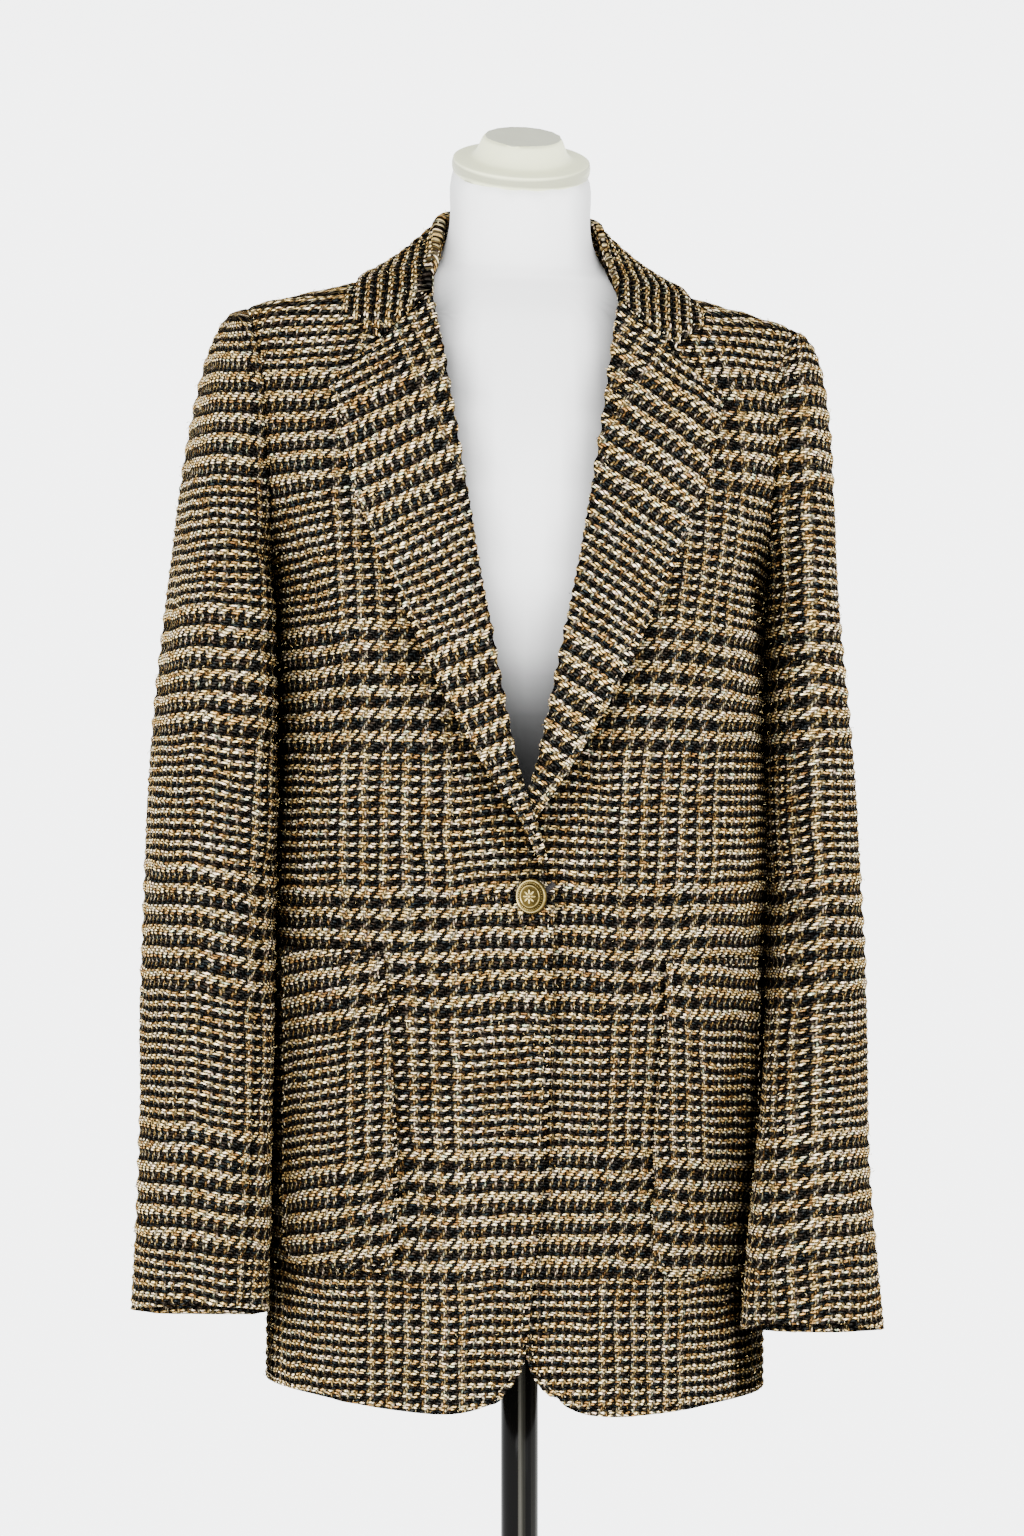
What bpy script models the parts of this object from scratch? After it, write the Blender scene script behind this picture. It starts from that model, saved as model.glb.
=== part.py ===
"""A tweed hacking jacket, fastened with one button, on a limbless dress form with a pole and a round base.

Metres, +Z up, and the wearer faces -Y. The cloth is drafted straight and even on both sides: `out` is a
distance from the centre line towards a piece's own side, and `height` is above the floor. Each draft point
then goes through hang(), which gives the form its small turn and its lower left shoulder. "Right" and "left"
are the wearer's.
"""

import math
from bisect import bisect_right
from collections import namedtuple

import bmesh
import bpy
from mathutils import Matrix, Vector

CLOTH = 0.0020  # tweed with its lining
SEAM = 0.0004  # gap between two sewn pieces
LAID = 0.0009  # gap under a piece that lies on another
RESTING = CLOTH + LAID + 0.0006  # how far outside the body the collar's fall lies
ROLL_GAP = 0.0018  # gap inside the lapel's rolled edge

RIGHT, LEFT = -1, 1  # which way along X the wearer's side lies

HEM_HEIGHT = 0.667
BACK_HEM_HEIGHT = 0.684
SIDE_HEM_HEIGHT = 0.675
CUTAWAY_TOP = 0.712  # where the rounded front corner leaves the straight front edge
CUTAWAY_OUT = 0.057  # and how far out it meets the hem
CUTAWAY_ROUND = 2.1
FRONT_CORNER_HEIGHT = 0.680  # middle of the rounded corner
BUTTON_HEIGHT = 1.001
BREAK_HEIGHT = 1.008  # foot of the roll line
OVERLAP = 0.017  # front edge past the centre line at the button
UNDERARM_HEIGHT = 1.204
SHOULDER_HEIGHT = 1.3834
SHOULDER_OUT = 0.182
NECK_OUT, NECK_HEIGHT = 0.066, 1.4225  # where the shoulder seam meets the collar
BACK_NECK_HEIGHT = 1.4385
GORGE_HEIGHT = 1.3875  # top of the roll line
GORGE_SEAM_HEIGHT = 1.3831  # where the neckline meets the gorge
COLLAR_ROLL = 0.0042  # outer radius of the fold where the lapel and the collar turn over
COLLAR_END = 0.88  # station where the collar starts to turn into its end section
GORGE_GAP = 0.0010  # between the collar's end and the lapel's top edge
STAND_GAP = 0.0024  # between the collar's foot and the neckline that it is sewn to
STAND_END = 0.0016  # how far the stand goes on below the roll at the gorge
COLLAR_ARCH = 0.008  # the fall arches this much over the notch, four times over

FRONT_ROWS, BACK_ROWS = 32, 26  # the last ten rows of each lie along the armhole
LAPEL_COLUMNS, COLLAR_ROWS = 10, 12  # four of each go round the fold
COLLAR_STAND, COLLAR_ROLLED, COLLAR_NOTCH = 2 / 12, 6 / 12, 9 / 12  # shares of the collar's rows
NECK_SHARE = 5 / 12  # part of a back's top edge that is neckline

ARMHOLE_RISE = (SHOULDER_HEIGHT - UNDERARM_HEIGHT) / 2
ARMHOLE_REACH = 0.057
ARMHOLE_SET_BACK = 0.010  # underarm point behind the shoulder point

# The jacket's outer surface, in level sections. Above the shoulder point the half width is the shoulder seam.
Section = namedtuple("Section", "height half_width front back square")
BODY = (
    Section(0.640, 0.1660, 0.1280, 0.1190, 2.35),
    Section(0.720, 0.1660, 0.1280, 0.1200, 2.35),
    Section(0.800, 0.1660, 0.1270, 0.1205, 2.35),
    Section(0.900, 0.1660, 0.1235, 0.1165, 2.35),
    Section(1.000, 0.1650, 0.1180, 0.1060, 2.30),
    Section(1.090, 0.1640, 0.1145, 0.1000, 2.30),
    Section(1.160, 0.1640, 0.1185, 0.1045, 2.30),
    Section(1.204, 0.1650, 0.1220, 0.1100, 2.30),
    Section(1.240, 0.1700, 0.1240, 0.1135, 2.30),
    Section(1.270, 0.1770, 0.1230, 0.1160, 2.25),
    Section(1.300, 0.1840, 0.1190, 0.1170, 2.20),
    Section(1.330, 0.1870, 0.1095, 0.1145, 2.15),
    Section(1.355, 0.1880, 0.0980, 0.1090, 2.10),
    Section(1.370, 0.1868, 0.0900, 0.1040, 2.05),
    Section(SHOULDER_HEIGHT, SHOULDER_OUT, 0.0820, 0.0985, 2.05),
    Section(1.3900, 0.1600, 0.0772, 0.0945, 2.03),
    Section(1.3960, 0.1400, 0.0726, 0.0910, 2.00),
    Section(1.4015, 0.1200, 0.0682, 0.0875, 2.00),
    Section(1.4058, 0.1050, 0.0646, 0.0848, 2.00),
    Section(1.4110, 0.0900, 0.0602, 0.0815, 2.00),
    Section(1.4152, 0.0800, 0.0568, 0.0789, 2.00),
    Section(NECK_HEIGHT, NECK_OUT, 0.0510, 0.0744, 2.00),
    Section(1.4325, 0.0500, 0.0440, 0.0690, 2.00),
    Section(1.4430, 0.0350, 0.0385, 0.0645, 2.00),
)

# The lapel from its foot to the gorge: the roll line, the outer edge, and the radius of the roll.
Lapel = namedtuple("Lapel", "station roll_height roll_out edge_height edge_out radius")
LAPEL = (
    Lapel(0 / 9, 1.0230, -0.0130, 1.0205, -0.0080, 0.0026),
    Lapel(1 / 9, 1.0500, -0.0055, 1.0460, 0.0030, 0.0027),
    Lapel(2 / 9, 1.0800, 0.0045, 1.0720, 0.0200, 0.0030),
    Lapel(3 / 9, 1.1200, 0.0130, 1.1060, 0.0405, 0.0036),
    Lapel(4 / 9, 1.1650, 0.0215, 1.1470, 0.0620, 0.0042),
    Lapel(5 / 9, 1.2100, 0.0305, 1.1900, 0.0805, 0.0046),
    Lapel(6 / 9, 1.2550, 0.0380, 1.2310, 0.0985, 0.0048),
    Lapel(7 / 9, 1.3000, 0.0455, 1.2690, 0.1125, 0.0048),
    Lapel(8 / 9, 1.3450, 0.0525, 1.3030, 0.1220, 0.0045),
    Lapel(9 / 9, GORGE_HEIGHT, 0.0600, 1.3295, 0.1266, COLLAR_ROLL),
)
FOOT_HEIGHT = LAPEL[0].edge_height - 0.001
NOTCH_OUT, NOTCH_HEIGHT = 0.0945, 1.3580  # inner corner between the collar and the lapel
COLLAR_TIP_OUT, COLLAR_TIP_HEIGHT = 0.1147, 1.3750

# The collar from the centre back (0) past the shoulder seam (0.6) to the gorge (1): where its fold runs, and
# where its outer edge rests on the body.
Collar = namedtuple("Collar", "station fold_x fold_y fold_z edge_angle edge_height")
COLLAR = (
    Collar(0.00, 0.0000, 0.0560, 1.4625, 180.0, 1.4030),
    Collar(0.20, 0.0255, 0.0495, 1.4620, 152.0, 1.4045),
    Collar(0.40, 0.0440, 0.0315, 1.4580, 122.0, 1.4070),
    Collar(0.60, 0.0530, 0.0040, 1.4500, 92.0, 1.4065),
    Collar(0.68, 0.0550, -0.0110, 1.4400, 75.0, 1.4050),
    Collar(0.76, 0.0567, -0.0270, 1.4280, 62.0, 1.4010),
    Collar(0.88, 0.0592, -0.0520, 1.4080, 49.0, 1.3940),
    Collar(1.00, 0.0603, -0.0768, 1.3882, 37.6, 1.3756),
)
COLLAR_SHOULDER = 0.60

# Each sleeve from the underarm level to the cuff: edges nearest to and farthest from the body, how far its
# middle lies behind (+) the shoulder, half its depth, the turn of its oval, and the slope of the section.
Arm = namedtuple("Arm", "drop height inner outer behind half_depth turn pitch")
RIGHT_ARM = (
    Arm(0.000, 1.1800, 0.1662, 0.2320, -0.017, 0.0665, -14, 0),
    Arm(0.050, 1.1300, 0.1645, 0.2375, -0.025, 0.0640, -15, 0),
    Arm(0.105, 1.0750, 0.1642, 0.2423, -0.029, 0.0615, -15, 1),
    Arm(0.159, 1.0210, 0.1641, 0.2451, -0.035, 0.0595, -14, 4),
    Arm(0.226, 0.9540, 0.1647, 0.2473, -0.046, 0.0580, -12, 8),
    Arm(0.280, 0.9000, 0.1645, 0.2491, -0.056, 0.0565, -10, 10),
    Arm(0.346, 0.8340, 0.1646, 0.2499, -0.063, 0.0550, -8, 10),
    Arm(0.400, 0.7800, 0.1648, 0.2511, -0.067, 0.0530, -5, 10),
    Arm(0.455, 0.7250, 0.1656, 0.2535, -0.070, 0.0505, -3, 10),
)
LEFT_ARM = (
    Arm(0.000, 1.1800, 0.1660, 0.2167, 0.006, 0.0680, 0, 0),
    Arm(0.050, 1.1300, 0.1659, 0.2220, 0.005, 0.0670, 0, 0),
    Arm(0.105, 1.0750, 0.1662, 0.2269, 0.005, 0.0650, 1, 1),
    Arm(0.159, 1.0210, 0.1673, 0.2286, 0.000, 0.0630, 4, 4),
    Arm(0.226, 0.9540, 0.1668, 0.2302, -0.024, 0.0600, 2, 8),
    Arm(0.280, 0.9000, 0.1631, 0.2295, -0.056, 0.0580, -9, 10),
    Arm(0.346, 0.8340, 0.1539, 0.2270, -0.086, 0.0550, -14, 10),
    Arm(0.400, 0.7800, 0.1467, 0.2289, -0.102, 0.0530, -10, 10),
    Arm(0.455, 0.7250, 0.1412, 0.2323, -0.112, 0.0500, -6, 10),
)
ARM_SQUARE = 2.1
FRONT_SLEEVE_SEAM = 126  # degrees round the sleeve from its outermost line, through the front
BACK_SLEEVE_SEAM = 252

POCKET_TOP = 0.962
POCKET_BOTTOM = 0.757
POCKET_CORNER = 0.016
POCKET_OUTER_ANGLE = 68
Pocket = namedtuple("Pocket", "height inner_out")
POCKET = (Pocket(0.750, 0.0825), Pocket(0.840, 0.0830), Pocket(0.965, 0.0915))

# The dress form, from its flat underside to the neck: `forward` moves a section's middle, `pitch` tips it.
FormSection = namedtuple("FormSection", "height half_width front back square forward pitch")
FORM = (
    FormSection(0.775, 0.1500, 0.1080, 0.1060, 2.2, 0.000, 0),
    FormSection(0.830, 0.1560, 0.1110, 0.1120, 2.2, 0.000, 0),
    FormSection(0.900, 0.1550, 0.1080, 0.1090, 2.2, 0.000, 0),
    FormSection(0.950, 0.1480, 0.1035, 0.1010, 2.2, 0.000, 0),
    FormSection(1.000, 0.1390, 0.0975, 0.0920, 2.2, 0.000, 0),
    FormSection(1.045, 0.1300, 0.0920, 0.0860, 2.2, 0.000, 0),
    FormSection(1.088, 0.1260, 0.0900, 0.0840, 2.2, 0.000, 0),
    FormSection(1.125, 0.1290, 0.0930, 0.0860, 2.2, 0.000, 0),
    FormSection(1.160, 0.1350, 0.0980, 0.0900, 2.2, 0.000, 0),
    FormSection(1.200, 0.1420, 0.1060, 0.0955, 2.2, 0.000, 0),
    FormSection(1.235, 0.1480, 0.1110, 0.1000, 2.2, 0.000, 0),
    FormSection(1.270, 0.1540, 0.1110, 0.1040, 2.2, 0.000, 0),
    FormSection(1.300, 0.1600, 0.1070, 0.1060, 2.15, 0.000, 0),
    FormSection(1.325, 0.1660, 0.1000, 0.1055, 2.1, 0.000, 0),
    FormSection(1.345, 0.1710, 0.0930, 0.1030, 2.05, 0.000, 0),
    FormSection(1.362, 0.1740, 0.0860, 0.0990, 2.0, 0.000, 0),
    FormSection(1.376, 0.1740, 0.0795, 0.0950, 2.0, 0.000, 0),
    FormSection(1.3845, 0.1570, 0.0745, 0.0915, 2.0, 0.000, 0),
    FormSection(1.3905, 0.1370, 0.0700, 0.0880, 2.0, 0.000, 0),
    FormSection(1.3960, 0.1170, 0.0655, 0.0845, 2.0, 0.000, 0),
    FormSection(1.4000, 0.1020, 0.0620, 0.0815, 2.0, 0.000, 0),
    FormSection(1.4050, 0.0870, 0.0575, 0.0775, 2.0, 0.000, 0),
    FormSection(1.4090, 0.0750, 0.0545, 0.0730, 2.0, 0.001, 0),
    FormSection(1.4150, 0.0610, 0.0510, 0.0630, 2.0, 0.002, 1),
    FormSection(1.4260, 0.0525, 0.0485, 0.0500, 2.0, 0.004, 4),
    FormSection(1.4380, 0.0482, 0.0465, 0.0450, 2.0, 0.007, 9),
    FormSection(1.4550, 0.0465, 0.0455, 0.0450, 2.0, 0.012, 16),
    FormSection(1.4790, 0.0445, 0.0445, 0.0445, 2.0, 0.0165, 23),
)
NECK_TOP = FORM[-1]

# Turned profiles, each down the outside from the top: radius and height.
Turned = namedtuple("Turned", "radius height")
CAP = (
    Turned(0.0000, 0.0246), Turned(0.0240, 0.0246), Turned(0.0258, 0.0238), Turned(0.0272, 0.0220),
    Turned(0.0296, 0.0158), Turned(0.0322, 0.0118), Turned(0.0360, 0.0102), Turned(0.0440, 0.0094),
    Turned(0.0456, 0.0082), Turned(0.0462, 0.0050), Turned(0.0456, 0.0012), Turned(0.0444, 0.0000),
    Turned(0.0000, 0.0000),
)
BUTTON_RADIUS = 0.0115
BUTTON = (
    Turned(0.0000, 0.0064), Turned(0.0045, 0.0060), Turned(0.0078, 0.0048), Turned(0.0096, 0.0036),
    Turned(0.0104, 0.0038), Turned(BUTTON_RADIUS, 0.0030), Turned(BUTTON_RADIUS, 0.0020),
    Turned(0.0106, 0.0010), Turned(0.0060, 0.0004), Turned(0.0016, 0.0000), Turned(0.0016, -0.0082),
    Turned(0.0000, -0.0082),
)
BUTTON_TURN = math.radians(-30)  # the button leans on its shank towards the wearer's right
BUTTONHOLE_LENGTH, BUTTONHOLE_WIDTH = 0.020, 0.0040

POLE_RADIUS = 0.0125
BASE_RADIUS = 0.180
BASE_THICKNESS = 0.008
BASE_EDGE = 0.0025
POLE_COLLAR_RADIUS, POLE_COLLAR_HEIGHT = 0.024, 0.030

TURN = math.radians(3.2)  # the form faces a little to its left
HEM_TILT, SHOULDER_TILT = math.radians(1.25), math.radians(1.9)
HEM_SHIFT, SHOULDER_SHIFT = -0.0035, -0.0005


def read(table, column, at):
    """A column at one value of the table's first column, on a smooth curve through its rows."""
    keys = [row[0] for row in table]
    values = [getattr(row, column) for row in table]
    at = min(max(at, keys[0]), keys[-1])
    high = min(bisect_right(keys, at), len(keys) - 1)
    low = high - 1
    before, after = max(low - 1, 0), min(high + 1, len(keys) - 1)
    gap = keys[high] - keys[low]
    start = (values[high] - values[before]) / (keys[high] - keys[before]) * gap
    end = (values[after] - values[low]) / (keys[after] - keys[low]) * gap
    return hermite(values[low], start, values[high], end, (at - keys[low]) / gap)


def hermite(first, first_slope, last, last_slope, share):
    """Goes from first to last, leaving and arriving with the two slopes."""
    square, cube = share * share, share**3
    return (
        first * (2 * cube - 3 * square + 1)
        + first_slope * (cube - 2 * square + share)
        + last * (3 * square - 2 * cube)
        + last_slope * (cube - square)
    )


def between(first, last, share):
    return first + (last - first) * share


def ramp(value, start, end):
    """0 at start, 1 at end, and smooth in between and past both."""
    share = min(max((value - start) / (end - start), 0.0), 1.0)
    return share * share * (3 - 2 * share)


def power(value, exponent):
    """A power that keeps the sign."""
    return math.copysign(abs(value) ** exponent, value)


def hang(point):
    """A draft point as the form stands: turned, moved across, and lower towards the wearer's left."""
    share = (point.z - HEM_HEIGHT) / (SHOULDER_HEIGHT - HEM_HEIGHT)
    turned = Matrix.Rotation(TURN, 3, "Z") @ point
    turned.x += between(HEM_SHIFT, SHOULDER_SHIFT, share)
    turned.z -= turned.x * math.tan(between(HEM_TILT, SHOULDER_TILT, share))
    return turned


def normal_of(place, first, second, step):
    """The direction out of a surface that a function of two numbers gives."""
    one_way = place(first + step, second) - place(first - step, second)
    other_way = place(first, second + step) - place(first, second - step)
    return one_way.cross(other_way).normalized()


def ring(half_width, front, back, square, angle):
    """A point of a squared oval: 0 degrees is its front, 90 its left side, 180 its back."""
    sine, cosine = math.sin(math.radians(angle)), math.cos(math.radians(angle))
    depth = front if cosine > 0 else back
    return half_width * power(sine, 2 / square), -depth * power(cosine, 2 / square)


def body(angle, height):
    """A point of the jacket's outer surface, on the wearer's left."""
    section = [read(BODY, column, height) for column in Section._fields[1:]]
    x, y = ring(*section, angle)
    return Vector((x, y, height))


def body_normal(angle, height):
    ahead, behind = body(angle + 0.4, height), body(angle - 0.4, height)
    above, below = body(angle, height + 0.001), body(angle, height - 0.001)
    return (ahead - behind).cross(above - below).normalized()


def angle_at(out, height):
    """The angle round the front at which a level section is `out` from the centre."""
    half_width, square = read(BODY, "half_width", height), read(BODY, "square", height)
    return math.degrees(math.asin(min(max(power(out / half_width, square / 2), -1.0), 1.0)))


def armhole(angle):
    """The armhole seam as an angle and a height on the body: 0 at the shoulder, 90 in front, 180 below."""
    turn = math.radians(angle)
    height = UNDERARM_HEIGHT + ARMHOLE_RISE * (1 + math.cos(turn))
    y = ARMHOLE_SET_BACK * (1 - math.cos(turn)) / 2 - ARMHOLE_REACH * math.sin(turn)
    depth = read(BODY, "front" if y < 0 else "back", height)
    square = read(BODY, "square", height)
    return 90 + math.degrees(math.asin(power(y / depth, square / 2))), height


def hem_height(out):
    """The front hem: a rounded corner, then a rise towards the side."""
    if out < CUTAWAY_OUT:
        share = min(1 - max(out, 0.0) / CUTAWAY_OUT, 1.0)
        return CUTAWAY_TOP - (CUTAWAY_TOP - HEM_HEIGHT) * (1 - share**CUTAWAY_ROUND) ** (1 / CUTAWAY_ROUND)
    return between(HEM_HEIGHT, SIDE_HEM_HEIGHT, ramp(out, CUTAWAY_OUT, 0.166))


def lapel_at(height):
    """The lapel's station at a height of its roll line."""
    low, high = 0.0, 1.0
    for _ in range(24):
        middle = (low + high) / 2
        if read(LAPEL, "roll_height", middle) < height:
            low = middle
        else:
            high = middle
    return low


def front_edge(height):
    """How far out a front panel begins: its cut corner, its straight edge, its roll line or its neckline."""
    if height < CUTAWAY_TOP:
        share = (CUTAWAY_TOP - height) / (CUTAWAY_TOP - HEM_HEIGHT)
        return CUTAWAY_OUT * (1 - (1 - share**CUTAWAY_ROUND) ** (1 / CUTAWAY_ROUND))
    if height < BREAK_HEIGHT:
        share = (BREAK_HEIGHT - height) / (BREAK_HEIGHT - CUTAWAY_TOP)
        return -OVERLAP * (1 - share**2.2)
    station = lapel_at(min(height, GORGE_HEIGHT))
    rolled = read(LAPEL, "roll_out", station) + read(LAPEL, "radius", station) + ROLL_GAP
    if height < FOOT_HEIGHT:
        return between(-OVERLAP, rolled, ramp(height, BREAK_HEIGHT, FOOT_HEIGHT))
    return between(rolled, NECK_OUT, ramp(height, 1.360, GORGE_SEAM_HEIGHT))


def lap(side, out, height):
    """How far the right front stands off the draft, over the left front and over the foot of its lapel."""
    if side == LEFT:
        return 0.0
    over_front = 0.0033 * (1 - ramp(height, 1.085, 1.150)) * (1 - ramp(out, 0.018, 0.075))
    over_lapel = 0.0030 * ramp(height, 0.985, 1.015) * (1 - ramp(height, 1.078, 1.120))
    return over_front + over_lapel * (1 - ramp(out, 0.012, 0.060))


def front(side, angle, height, lift=0.0):
    """A point on a front panel, or `lift` outside it."""
    point = body(angle, height)
    return point + body_normal(angle, height) * (lift + lap(side, point.x, height))


def stepped(knots, share):
    """A height on straight runs between knots, so that rows of the grid fall where the outline turns."""
    shares = [knot[0] for knot in knots]
    high = min(max(bisect_right(shares, share), 1), len(knots) - 1)
    (start, first), (end, last) = knots[high - 1], knots[high]
    return between(first, last, (share - start) / (end - start))


def front_panel(side):
    """Hem to shoulder seam, and front edge to side seam and armhole."""
    corner = FRONT_CORNER_HEIGHT
    skirt = 22 / FRONT_ROWS
    levels = (
        (0, corner), (2 / FRONT_ROWS, corner + 0.010), (5 / FRONT_ROWS, CUTAWAY_TOP + 0.002),
        (14 / FRONT_ROWS, BREAK_HEIGHT), (15 / FRONT_ROWS, FOOT_HEIGHT), (skirt, UNDERARM_HEIGHT),
    )

    def place(across, up):
        if up <= skirt:
            level = stepped(levels, up)
            share = (level - corner) / (UNDERARM_HEIGHT - corner)
            side_angle = armhole(180)[0] - 0.15
            at_hem = between(angle_at(front_edge(corner), corner), side_angle, power(across, 1.3))
            height = between(hem_height(body(at_hem, corner).x), UNDERARM_HEIGHT, share)
            spread = power(across, between(1.3, 1.0, min(max(share, 0.0) * 4, 1.0)))
            return front(side, between(angle_at(front_edge(level), level), side_angle, spread), height)
        share = (up - skirt) / (1 - skirt)
        outer, outer_height = armhole(180 * (1 - share))
        inner_height = between(UNDERARM_HEIGHT, NECK_HEIGHT, share)
        inner = angle_at(front_edge(inner_height), inner_height)
        angle = between(inner, outer - 0.15, across)
        return front(side, angle, between(inner_height, outer_height, across))

    return place


def back_panel(across, up):
    """Hem to neck and shoulder seam, and side seam and armhole to centre back seam."""
    from_centre = 1 - across
    skirt = 16 / BACK_ROWS
    side_angle = armhole(180)[0] + 0.15
    if up <= skirt:
        hem = between(BACK_HEM_HEIGHT, SIDE_HEM_HEIGHT, ramp(from_centre, 0.0, 1.0))
        height = between(hem, UNDERARM_HEIGHT, up / skirt)
        return body(between(180 - angle_at(SEAM / 2, height), side_angle, from_centre), height)
    share = (up - skirt) / (1 - skirt)
    outer, outer_height = armhole(180 + 180 * share)
    height = between(between(UNDERARM_HEIGHT, BACK_NECK_HEIGHT, share), outer_height, from_centre)
    centre_angle = 180 - angle_at(SEAM / 2, height)
    angle = between(centre_angle, outer + 0.15, from_centre)
    if from_centre < NECK_SHARE:
        top_angle, top_height = neck_seam(COLLAR_SHOULDER * from_centre / NECK_SHARE)
        top_angle = min(top_angle, centre_angle)
    else:
        top_angle = 90.3
        top_height = between(NECK_HEIGHT, SHOULDER_HEIGHT, (from_centre - NECK_SHARE) / (1 - NECK_SHARE))
    level_angle = between(centre_angle, 90.15, from_centre)
    level_height = between(BACK_NECK_HEIGHT, SHOULDER_HEIGHT, from_centre)
    bend = share**3
    return body(angle + (top_angle - level_angle) * bend, height + (top_height - level_height) * bend)


def rolled(side, across, roll, edge, radius, rest, roll_share):
    """Cloth turned over at the point `roll` and laid towards `edge`, both as a distance out and a height."""
    width = math.dist(roll, edge)
    if across < roll_share:
        turn = math.radians(-90 + 180 * across / roll_share)
        reach = radius * (1 - math.cos(turn))
        lift = radius - CLOTH + radius * math.sin(turn)
    else:
        share = (across - roll_share) / (1 - roll_share)
        reach = between(radius, width, share)
        lift = between(2 * radius - CLOTH, rest, ramp(share, -0.1, 0.75))
    out, height = between(roll[0], edge[0], reach / width), between(roll[1], edge[1], reach / width)
    return front(side, angle_at(out, height), height, lift)


def lapel(side):
    """The facing turned out at the roll line: a rolled edge, then a blade that lies on the front."""

    def place(across, station):
        roll_height, roll_out, edge_height, edge_out, radius = (
            read(LAPEL, column, station) for column in Lapel._fields[1:]
        )
        rest = CLOTH + LAID + 0.0012 * ramp(across, 0.7, 1.0) * ramp(station, 0.1, 0.5)
        roll, edge = (roll_out, roll_height), (edge_out, edge_height)
        return rolled(side, across, roll, edge, radius, rest, 4 / LAPEL_COLUMNS)

    return place


def neck_seam(station):
    """The collar's seam as an angle and a height on the body: along the backs' neckline, then the front's."""
    if station < COLLAR_SHOULDER:
        share = station / COLLAR_SHOULDER
        return between(180, 90.3, share), between(BACK_NECK_HEIGHT, NECK_HEIGHT, ramp(share, 0, 1))
    share = (station - COLLAR_SHOULDER) / (1 - COLLAR_SHOULDER)
    height = between(NECK_HEIGHT, GORGE_SEAM_HEIGHT, share)
    return angle_at(NECK_OUT, height), height


def collar_end(side, up):
    """The collar's last section: down the gorge beside the lapel, then out from the notch to the tip."""
    apart = Vector((0.66, 0.75)) * GORGE_GAP
    roll = Vector((LAPEL[-1].roll_out, LAPEL[-1].roll_height)) + apart
    notch, tip = Vector((NOTCH_OUT, NOTCH_HEIGHT)) + apart, Vector((COLLAR_TIP_OUT, COLLAR_TIP_HEIGHT))
    fold = (COLLAR_ROLLED - COLLAR_STAND) / (COLLAR_NOTCH - COLLAR_STAND)
    if up < COLLAR_STAND:
        lowest = rolled(side, 0, roll, notch, COLLAR_ROLL, RESTING, fold)
        next_one = rolled(side, 0.01, roll, notch, COLLAR_ROLL, RESTING, fold)
        return lowest + (lowest - next_one).normalized() * (STAND_END * (1 - up / COLLAR_STAND))
    if up < COLLAR_NOTCH:
        share = (up - COLLAR_STAND) / (COLLAR_NOTCH - COLLAR_STAND)
        return rolled(side, share, roll, notch, COLLAR_ROLL, RESTING, fold)
    share = (up - COLLAR_NOTCH) / (1 - COLLAR_NOTCH)
    out, height = between(notch, tip, share)
    return front(side, angle_at(out, height), height, RESTING)


def collar(along, up):
    """Stand and fall in one: along goes from the right gorge to the left, up from neck seam to outer edge."""
    signed = 2 * along - 1
    side = LEFT if signed > 0 else RIGHT
    station = min(abs(signed), 1.0)
    fold_x, fold_y, fold_z, edge_angle, edge_height = (
        read(COLLAR, column, station) for column in Collar._fields[1:]
    )
    fold = Vector((fold_x, fold_y, fold_z))
    seam_angle, seam_height = neck_seam(station)
    seam_normal = body_normal(seam_angle, seam_height)
    along_seam = body(*neck_seam(min(station + 0.01, 1.0))) - body(*neck_seam(max(station - 0.01, 0.0)))
    away = along_seam.cross(seam_normal).normalized()
    foot = body(seam_angle, seam_height) - seam_normal * CLOTH + away * STAND_GAP
    at_gorge = ramp(station, 0.70, 1.0)

    def rests(share):
        """The fall's path over the shoulders, one thickness and a small gap outside the body."""
        angle, height = between(seam_angle, edge_angle, share), between(seam_height, edge_height, share)
        return body(angle, height) + body_normal(angle, height) * RESTING

    falls = (rests(0.4) - fold).normalized()
    stands = Vector((0, 0, 1)).lerp(-falls, at_gorge).normalized()
    outwards = Vector((fold.x, fold.y, 0)).normalized().lerp(seam_normal, at_gorge)
    outwards = (outwards - stands * outwards.dot(stands)).normalized()
    heart = fold - stands * COLLAR_ROLL
    if up < COLLAR_STAND:
        point = between(foot, heart - outwards * COLLAR_ROLL, up / COLLAR_STAND)
    elif up < COLLAR_ROLLED:
        turn = math.radians(180 * (up - COLLAR_STAND) / (COLLAR_ROLLED - COLLAR_STAND))
        point = heart - outwards * (COLLAR_ROLL * math.cos(turn)) + stands * (COLLAR_ROLL * math.sin(turn))
    else:
        share = (up - COLLAR_ROLLED) / (1 - COLLAR_ROLLED)
        point = rests(share) + (heart + outwards * COLLAR_ROLL - rests(0)) * (1 - min(share, 1)) ** 1.3
    turned = ramp(station, COLLAR_END, 1.0)
    arch = COLLAR_ARCH * turned * (1 - turned) * ramp(up, 0.4, 0.8)
    point = point.lerp(collar_end(side, up), turned) + seam_normal * arch
    return Vector((side * point.x, point.y, point.z))


def arm_ring(arm, angle, drop):
    """A sleeve below the underarm: 0 degrees is its outermost line, 90 its front, 180 next to the body."""
    height, inner, outer, behind, half_depth, turn, pitch = (
        read(arm, column, drop) for column in Arm._fields[1:]
    )
    half_width = (outer - inner) / 2
    sine, cosine = math.sin(math.radians(angle)), math.cos(math.radians(angle))
    x = half_width * power(cosine, 2 / ARM_SQUARE)
    y = -half_depth * power(sine, 2 / ARM_SQUARE)
    turned = Matrix.Rotation(math.radians(turn), 2) @ Vector((x, y))
    rise = -turned.y * math.tan(math.radians(pitch))
    return Vector(((inner + outer) / 2 + turned.x, behind + turned.y, height + rise))


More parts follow.
